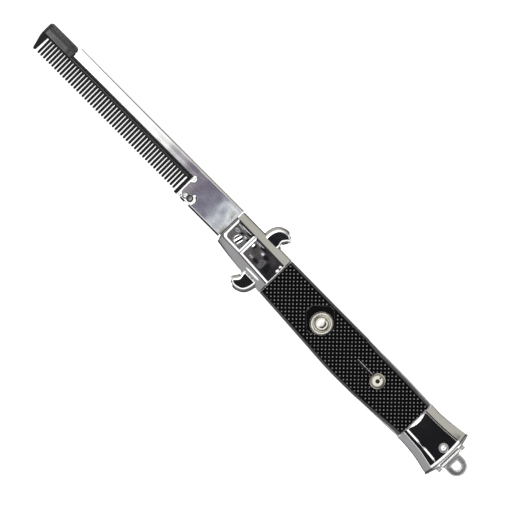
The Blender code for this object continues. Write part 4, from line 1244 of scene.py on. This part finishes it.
class CombLook(bpy.types.PropertyGroup):
    """Colours of the finishes."""
    chrome: bpy.props.FloatVectorProperty(
        name="Chrome", description="Tone of the plated metal",
        subtype="COLOR", default=(0.90, 0.90, 0.905), min=0, max=1)
    nickel: bpy.props.FloatVectorProperty(
        name="Nickel", description="Tone of the button and the knob",
        subtype="COLOR", default=(0.70, 0.68, 0.61), min=0, max=1)
    liner: bpy.props.FloatVectorProperty(
        name="Liner", description="Tone of the steel liners",
        subtype="COLOR", default=(0.64, 0.63, 0.61), min=0, max=1)
    comb_black: bpy.props.FloatVectorProperty(
        name="Comb", description="Colour of the comb's plastic",
        subtype="COLOR", default=(0.006, 0.006, 0.0065), min=0, max=1)
    grip_black: bpy.props.FloatVectorProperty(
        name="Grip", description="Colour of the grips' plastic",
        subtype="COLOR", default=(0.002, 0.002, 0.0022), min=0, max=1)
    floor: bpy.props.FloatVectorProperty(
        name="Floor", description="Colour of the floor",
        subtype="COLOR", default=(0.93, 0.93, 0.93), min=0, max=1)


class CombMetal(bpy.types.PropertyGroup):
    """Sizes of the metal's details."""
    panel_bevel: bpy.props.FloatProperty(
        name="Panel bevel", description="Width of the bevel round each panel",
        default=0.75 * MM, unit="LENGTH", precision=5)
    guard_soft: bpy.props.FloatProperty(
        name="Guard edge", description="Reach of the guards' rounded edges",
        default=1.8 * MM, unit="LENGTH", precision=5)
    dimple_depth: bpy.props.FloatProperty(
        name="Dimple", description="Depth of the punched dimple",
        default=0.45 * MM, unit="LENGTH", precision=5)
    button_height: bpy.props.FloatProperty(
        name="Button dome", description="Height of the button's dome",
        default=1.9 * MM, unit="LENGTH", precision=5)


class CombGrip(bpy.types.PropertyGroup):
    """Sizes of the grips' checkering."""
    checker_length: bpy.props.FloatProperty(
        name="Pitch along", description="From point to point along a row",
        default=1.96 * MM, unit="LENGTH", precision=5)
    checker_width: bpy.props.FloatProperty(
        name="Row spacing", description="From one row to the next",
        default=1.0 * MM, unit="LENGTH", precision=5)
    checker_height: bpy.props.FloatProperty(
        name="Height", description="Height of a pyramid",
        default=0.42 * MM, unit="LENGTH", precision=5)


class CombTeeth(bpy.types.PropertyGroup):
    """Sizes of the comb's details."""
    root_half: bpy.props.FloatProperty(
        name="Root", description="Half the width of a tooth at its root",
        default=0.57 * MM, unit="LENGTH", precision=5)
    tip_half: bpy.props.FloatProperty(
        name="Tip", description="Half the width of a tooth near its tip",
        default=0.49 * MM, unit="LENGTH", precision=5)
    rim_width: bpy.props.FloatProperty(
        name="Rim", description="Width of the raised rim round the head",
        default=0.75 * MM, unit="LENGTH", precision=5)
    recess: bpy.props.FloatProperty(
        name="Recess", description="Depth of the head's sunk panel",
        default=0.25 * MM, unit="LENGTH", precision=5)


class CombStage(bpy.types.PropertyGroup):
    """Light and camera."""
    distance: bpy.props.FloatProperty(
        name="Camera distance", description="From the middle plane to the camera",
        default=1.2, unit="LENGTH")
    strength: bpy.props.FloatProperty(
        name="Light", description="Strength of the studio's light",
        default=1.1)
    floor_size: bpy.props.FloatProperty(
        name="Floor size", description="Length of the floor's side",
        default=6.0, unit="LENGTH")


class CombSettings(bpy.types.PropertyGroup):
    """Everything that can be changed."""
    look: bpy.props.PointerProperty(type=CombLook)
    metal: bpy.props.PointerProperty(type=CombMetal)
    grip: bpy.props.PointerProperty(type=CombGrip)
    teeth: bpy.props.PointerProperty(type=CombTeeth)
    stage: bpy.props.PointerProperty(type=CombStage)


# Operators

class COMB_OT_finishes(bpy.types.Operator):
    """Make the finishes and give each solid its own"""
    bl_idname = "folding_comb.finishes"
    bl_label = "Finishes"

    def execute(self, context):
        make_materials(context.scene.folding_comb.look)
        slots = {part["node"]: part["material_slot"] for part in frame["record"]["subparts"]}
        for node, solid in frame["nodes"].items():
            solid.data.materials.clear()
            solid.data.materials.append(material_for(slots[node]))
        return {"FINISHED"}


class COMB_OT_holder(bpy.types.Operator):
    """Make the chrome sheet that holds the comb, with the pin in its punched ring and a near-black ring of painted
    shadow round the pin
    """
    bl_idname = "folding_comb.holder"
    bl_label = "Comb holder"

    def execute(self, context):
        sheet = [fold_shell(), ricasso_shell(context.scene.folding_comb.metal.dimple_depth)]
        bright, dull, dark = (material_for(name) for name in ("sheet_chrome", "dark_chrome", "dark_steel"))
        add_piece("holder_sheet", sheet, "comb_arm", bright, ("comb_holder",), blade=True)
        disc, gap = crimp_shells()
        add_piece("holder_crimp", [disc], "comb_arm", dull, blade=True)
        # Painted shadow: a near-black ring round the pin, in the gap of the punched ring
        add_piece("holder_gap", [gap], "comb_arm", dark, blade=True)
        return {"FINISHED"}


class COMB_OT_comb(bpy.types.Operator):
    """Make the black comb: its head and back strip, and its teeth between the block and the broad tooth"""
    bl_idname = "folding_comb.comb"
    bl_label = "Comb"

    def execute(self, context):
        teeth = context.scene.folding_comb.teeth
        body = [head_shell(teeth.rim_width, teeth.recess), strip_shell()]
        row = [block_shell(), end_tooth_shell()] + teeth_shells(teeth.root_half, teeth.tip_half)
        glossy, matt = material_for("comb_plastic"), material_for("tooth_plastic")
        add_piece("comb_body", body, "comb_arm", glossy, ("comb",), blade=True)
        add_piece("comb_teeth", row, "comb_arm", matt, blade=True, smooth_angle=60.0)
        return {"FINISHED"}


class COMB_OT_bolsters(bpy.types.Operator):
    """Make the bolsters and the hooked guards"""
    bl_idname = "folding_comb.bolsters"
    bl_label = "Bolsters and guards"

    def execute(self, context):
        metal = context.scene.folding_comb.metal
        chrome = material_for("bright_chrome")
        for node, side in (("front_bolster", 1), ("back_bolster", -1)):
            add_piece(f"{node}_plate", [bolster_shell(side, metal.panel_bevel)], "handle", chrome,
                      (node,), smooth_angle=16.0)
            for turn, name in ((1, "spine_guard"), (-1, "mouth_guard")):
                hook = hook_shell(side, turn, metal.guard_soft)
                add_piece(f"{node}_{name}", [hook], "handle", chrome)
        return {"FINISHED"}


class COMB_OT_grips(bpy.types.Operator):
    """Make the checkered grips, with the button's hole and the knob's slot in the front one"""
    bl_idname = "folding_comb.grips"
    bl_label = "Grips"

    def execute(self, context):
        grip = context.scene.folding_comb.grip
        plastic = material_for("grip_plastic")
        cut_top, slot_corner = 3 * SCALE_TOP, 0.7 * MM
        for node, side in (("scale_front", 1), ("scale_back", -1)):
            shell, raised = grip_shell(side, grip)
            piece = add_piece(f"{node}_grip", [shell], "handle", plastic, (node,))
            # The raised mark tells the material where to paint highlight and sheen
            add_mark(piece, "raised", raised)
            if side > 0:
                slot_low = (KNOB_PLACE[0] - KNOB_TRAVEL - SLOT_REACH, KNOB_PLACE[1] - SLOT_HALF, 0.0)
                slot_high = (KNOB_PLACE[0] + SLOT_REACH, KNOB_PLACE[1] + SLOT_HALF, cut_top)
                cut_out(piece, turned(((BUTTON_HOLE, 0.0), (BUTTON_HOLE, cut_top)), BUTTON_PLACE))
                cut_out(piece, box_shell(slot_low, slot_high, slot_corner))
        return {"FINISHED"}


class COMB_OT_rear(bpy.types.Operator):
    """Make the flared caps at the butt"""
    bl_idname = "folding_comb.rear"
    bl_label = "Rear bolster"

    def execute(self, context):
        bevel = context.scene.folding_comb.metal.panel_bevel
        chrome = material_for("bright_chrome")
        past_end, corner = 6 * MM, 0.5 * MM
        for node, side in (("rear_bolster_front", 1), ("rear_bolster_back", -1)):
            piece = add_piece(f"{node}_cap", [rear_shell(side, bevel)], "handle", chrome,
                              (node,), smooth_angle=16.0)
            low, high = sorted((side * 0.5 * PLATE_BASE, side * 2 * PANEL_TOP))
            cut_out(piece, box_shell((NOTCH[0], BAIL_AXIS[1] - NOTCH[1], low),
                                     (NOTCH[0] + past_end, BAIL_AXIS[1] + NOTCH[1], high), corner))
        return {"FINISHED"}


class COMB_OT_pins(bpy.types.Operator):
    """Make the pivot pin and the butt rivet: a struck head on a plain shank"""
    bl_idname = "folding_comb.pins"
    bl_label = "Pin and rivet"

    def execute(self, context):
        chrome = material_for("bright_chrome")
        lip, seam = 0.65 * MM, 0.02 * MM
        for node, place, radius, height, rib in HEADS:
            column = cylinder(place, radius - lip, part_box(node)[0].z - MIDDLE, PANEL_TOP)
            head = struck_head_shell(place, radius, PANEL_TOP + seam, height, rib)
            add_piece(f"{node}_head", [head, column], "handle", chrome, (node,))
        return {"FINISHED"}


class COMB_OT_button(bpy.types.Operator):
    """Make the push button, whose face leans a little towards the guards"""
    bl_idname = "folding_comb.button"
    bl_label = "Push button"

    def execute(self, context):
        low, high = (corner.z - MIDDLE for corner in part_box("push_button"))
        height = context.scene.folding_comb.metal.button_height
        steps = 128
        points, faces = turned(button_profile(low, high, height), BUTTON_PLACE, steps)
        rise = (points[:, 0] - BUTTON_PLACE[0]) * ease((points[:, 2] - SCALE_TOP) / MM)
        points[:, 2] += BUTTON_TILT * rise
        add_piece("button_cap", [(points, faces)], "button", material_for("warm_nickel"),
                  ("push_button",))
        return {"FINISHED"}


class COMB_OT_knob(bpy.types.Operator):
    """Make the safety knob and its stem, a near-black disc of painted shade in the pit of its crown, a near-black
    floor of painted shade under its slot, and the slot's steel edge
    """
    bl_idname = "folding_comb.knob"
    bl_label = "Safety knob"

    def execute(self, context):
        low, high = (corner.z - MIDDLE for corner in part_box("safety_knob"))
        nickel, dark = material_for("warm_nickel"), material_for("dark_steel")
        centre_x, centre_y = KNOB_PLACE
        seat, overlap, stem_corner = SCALE_TOP + 0.3 * MM, 0.2 * MM, 0.3 * MM
        stem_half, stem_low, stem_high = 1.5 * MM, 0.45 * MM, 0.2 * MM
        stem = box_shell((centre_x - stem_half, centre_y - stem_low, low),
                         (centre_x + stem_half, centre_y + stem_high, seat + overlap), stem_corner)
        cap = turned(knob_profile(seat, high), KNOB_PLACE)
        add_piece("knob_cap", [cap, stem], "safety", nickel, ("safety_knob",))
        # Painted shade: a near-black disc in the crown's dimple
        pit_radius, pit_sunk, pit_steps = 0.6 * MM, 0.5 * MM, 32
        pit = cylinder(KNOB_PLACE, pit_radius, seat, high - pit_sunk, pit_steps)
        add_piece("knob_pit", [pit], "safety", dark)
        # Painted shade: a near-black floor under the slot
        beyond, floor_sunk, floor_top = 0.3 * MM, 0.1 * MM, 0.15 * MM
        slot_x = (centre_x - KNOB_TRAVEL - SLOT_REACH - beyond, centre_x + SLOT_REACH + beyond)
        slot_y = (centre_y - SLOT_HALF - beyond, centre_y + SLOT_HALF + beyond)
        floor = box_shell((slot_x[0], slot_y[0], LINER_FACE - floor_sunk),
                          (slot_x[1], slot_y[1], LINER_FACE + floor_top))
        add_piece("slot_floor", [floor], "handle", dark)
        rail_short, rail_sunk, rail_low, rail_high = 0.8 * MM, 0.7 * MM, 0.34 * MM, 0.58 * MM
        rail = box_shell((slot_x[0] + rail_short, centre_y + rail_low, LINER_FACE),
                         (slot_x[1] - rail_short, centre_y + rail_high, SCALE_TOP - rail_sunk))
        add_piece("slot_rail", [rail], "handle", material_for("steel_liner"))
        return {"FINISHED"}


class COMB_OT_bail(bpy.types.Operator):
    """Make the loop at the butt and its barrel"""
    bl_idname = "folding_comb.bail"
    bl_label = "Bail"

    def execute(self, context):
        loop, barrel = bail_shells()
        add_piece("bail_loop", [loop], "bail", material_for("dull_chrome"), ("bail",))
        add_piece("bail_barrel", [barrel], "bail", material_for("bright_chrome"))
        return {"FINISHED"}


class COMB_OT_stage(bpy.types.Operator):
    """Make the floor, the studio's light and the camera"""
    bl_idname = "folding_comb.stage"
    bl_label = "Stage"

    def execute(self, context):
        settings = context.scene.folding_comb
        make_floor(settings.stage.floor_size, tuple(settings.look.floor))
        make_studio(settings.stage.strength)
        make_camera(settings.stage.distance)
        context.scene.view_settings.view_transform = "Standard"
        return {"FINISHED"}


def make_floor(size, colour):
    """A plain pale floor under the comb, a little below it so that the two don't touch."""
    material, _, shader = new_material("pale_floor", colour, metallic=0.0, roughness=0.7)
    shader.inputs["Specular IOR Level"].default_value = 0.1
    shader.inputs["Emission Color"].default_value = (1.0, 1.0, 1.0, 1.0)
    shader.inputs["Emission Strength"].default_value = FLOOR_GLOW
    level = CAD_BOUNDS[0].z - FLOOR_GAP
    half = size / 2
    mesh = bpy.data.meshes.new("floor")
    corners = [(x * half, y * half, level) for x, y in ((-1, -1), (1, -1), (1, 1), (-1, 1))]
    mesh.from_pydata(corners, [], [(0, 1, 2, 3)])
    mesh.materials.append(material)
    floor = bpy.data.objects.new("floor", mesh)
    bpy.context.scene.collection.objects.link(floor)


def make_studio(strength):
    """A white tent over a greyer room, with a dark band overhead along the handle that flat metal mirrors.

    An angle is measured off the vertical: the camera is straight overhead, so a level face at a place along
    the handle mirrors the one thin strip of the tent whose angle fits that place.
    """
    world = bpy.data.worlds.new("studio")
    bpy.context.scene.world = world
    world.use_nodes = True
    tree = world.node_tree
    background = tree.nodes["Background"]
    background.inputs["Strength"].default_value = strength
    place = tree.nodes.new("ShaderNodeTexCoord")
    parts = tree.nodes.new("ShaderNodeSeparateXYZ")
    tree.links.new(place.outputs["Generated"], parts.inputs["Vector"])

    def joined(operation, first, second):
        """Two values put together by an operation."""
        step = tree.nodes.new("ShaderNodeMath")
        step.operation = operation
        for socket, value in zip(step.inputs, (first, second)):
            if isinstance(value, float):
                socket.default_value = value
            else:
                tree.links.new(value, socket)
        return step.outputs["Value"]

    def step_between(source, start, end, low=0.0, high=1.0, kind="SMOOTHSTEP"):
        """Carries a value from low to high while the source goes from start to end."""
        step = tree.nodes.new("ShaderNodeMapRange")
        step.interpolation_type = kind
        step.inputs["From Min"].default_value = start
        step.inputs["From Max"].default_value = end
        step.inputs["To Min"].default_value = low
        step.inputs["To Max"].default_value = high
        tree.links.new(source, step.inputs["Value"])
        return step.outputs["Result"]

    def tangent(angle):
        """The run for each unit of rise at an angle in degrees off the vertical."""
        return math.tan(math.radians(angle))

    def between(source, rise, fall):
        """0 before the rise, 1 between the rise and the fall, 0 after it."""
        return joined("MULTIPLY", step_between(source, tangent(rise[0]), tangent(rise[1])),
                      step_between(source, tangent(fall[0]), tangent(fall[1]), 1.0, 0.0))

    def window(source, inner, outer):
        """1 within an angle on both sides of the vertical, 0 beyond the outer one."""
        size = joined("ABSOLUTE", source, 0.0)
        return step_between(size, tangent(inner), tangent(outer), 1.0, 0.0)

    def ramp(source, stops):
        """A colour by its stops."""
        step = tree.nodes.new("ShaderNodeValToRGB")
        elements = step.color_ramp.elements
        while len(elements) < len(stops):
            elements.new(1.0)
        for element, (position, colour) in zip(elements, stops):
            element.position = position
            element.color = (*colour, 1.0)
        tree.links.new(source, step.inputs["Fac"])
        return step.outputs["Color"]

    def layered(amount, under, over):
        """One colour over another, by an amount."""
        mix = tree.nodes.new("ShaderNodeMix")
        mix.data_type = "RGBA"
        tree.links.new(amount, mix.inputs["Factor"])
        for socket, colour in (("A", under), ("B", over)):
            if isinstance(colour, tuple):
                mix.inputs[socket].default_value = (*colour, 1.0)
            else:
                tree.links.new(colour, mix.inputs[socket])
        return mix.outputs["Result"]

    up = parts.outputs["Z"]
    run_x = joined("DIVIDE", parts.outputs["X"], up)
    run_y = joined("DIVIDE", parts.outputs["Y"], up)
    above = step_between(up, *HORIZON_FADE)

    def part(along, across):
        """A part of the light: its share along the handle, times its share across it, above the horizon."""
        return joined("MULTIPLY", joined("MULTIPLY", along, across), above)

    low_room = ramp(step_between(parts.outputs["Y"], -ROOM_SPAN, ROOM_SPAN, kind="LINEAR"), ROOM_STOPS)
    dark_floor_line = step_between(up, *FLOOR_LINE, 1.0)
    behind_butt = step_between(parts.outputs["X"], *BUTT_SHADE[:2], 1.0, BUTT_SHADE[2])
    room = layered(joined("MULTIPLY", dark_floor_line, behind_butt), ROOM_SHADE, low_room)
    tent = layered(step_between(up, *TENT_EDGE), room, TENT_WHITE)

    spine_flag = part(window(run_x, *FLAG_ALONG), between(run_y, *FLAG_ACROSS))
    tent = layered(spine_flag, tent, FLAG_SHADE)

    start, end = STRIP_SPAN
    along = step_between(run_x, tangent(start), tangent(end), kind="LINEAR")
    strip = ramp(along, [((angle - start) / (end - start), colour) for angle, colour in STRIP_STOPS])
    overhead = part(between(run_x, *STRIP_ENDS), window(run_y, *STRIP_ACROSS))
    tent = layered(overhead, tent, strip)

    softbox = part(between(run_x, *SOFTBOX_ENDS), window(run_y, *SOFTBOX_ACROSS))
    tree.links.new(layered(softbox, tent, SOFTBOX_GLOW), background.inputs["Color"])


def make_camera(distance):
    """The camera looks straight down, turned so that the handle runs as it does in the photograph."""
    data = bpy.data.cameras.new("camera")
    field = PHOTO_SIZE * PIXEL
    data.lens = data.sensor_width * distance / field
    camera = bpy.data.objects.new("camera", data)
    bpy.context.scene.collection.objects.link(camera)
    cosine, sine = math.cos(HANDLE_SLOPE), math.sin(HANDLE_SLOPE)
    right, up = np.array((cosine, sine, 0.0)), np.array((-sine, cosine, 0.0))
    offset_right = (PHOTO_SIZE / 2 - PIVOT_PIXEL[0]) * PIXEL
    offset_down = (PHOTO_SIZE / 2 - PIVOT_PIXEL[1]) * PIXEL
    target = PIVOT + offset_right * right - offset_down * up
    axes = Matrix((
        (right[0], up[0], 0.0, target[0]),
        (right[1], up[1], 0.0, target[1]),
        (0.0, 0.0, 1.0, target[2] + distance),
        (0.0, 0.0, 0.0, 1.0),
    ))
    camera.matrix_world = axes
    bpy.context.scene.camera = camera


class COMB_PT_panel(bpy.types.Panel):
    """Lists the steps in the 3D view's sidebar"""
    bl_idname = "COMB_PT_panel"
    bl_label = "Folding comb"
    bl_space_type = "VIEW_3D"
    bl_region_type = "UI"
    bl_category = "Comb"

    def draw(self, context):
        settings = context.scene.folding_comb
        for group in (settings.look, settings.metal, settings.grip, settings.teeth, settings.stage):
            box = self.layout.box()
            for name in group.__annotations__:
                box.prop(group, name)
        for step in STEPS:
            self.layout.operator(step.bl_idname)


GROUPS = (CombLook, CombMetal, CombGrip, CombTeeth, CombStage, CombSettings)
STEPS = (COMB_OT_finishes, COMB_OT_holder, COMB_OT_comb, COMB_OT_bolsters, COMB_OT_grips, COMB_OT_rear,
         COMB_OT_pins, COMB_OT_button, COMB_OT_knob, COMB_OT_bail, COMB_OT_stage)


def register():
    """Adds the settings, the steps and the panel to Blender."""
    for group in GROUPS:
        bpy.utils.register_class(group)
    bpy.types.Scene.folding_comb = bpy.props.PointerProperty(type=CombSettings)
    for step in STEPS:
        bpy.utils.register_class(step)
    bpy.utils.register_class(COMB_PT_panel)


def unregister():
    """Takes the panel, the steps and the settings out again."""
    bpy.utils.unregister_class(COMB_PT_panel)
    for step in reversed(STEPS):
        bpy.utils.unregister_class(step)
    del bpy.types.Scene.folding_comb
    for group in reversed(GROUPS):
        bpy.utils.unregister_class(group)


def main():
    """Runs every step in order."""
    register()
    for step in STEPS:
        group, name = step.bl_idname.split(".")
        getattr(getattr(bpy.ops, group), name)()


if __name__ == "__main__":
    main()
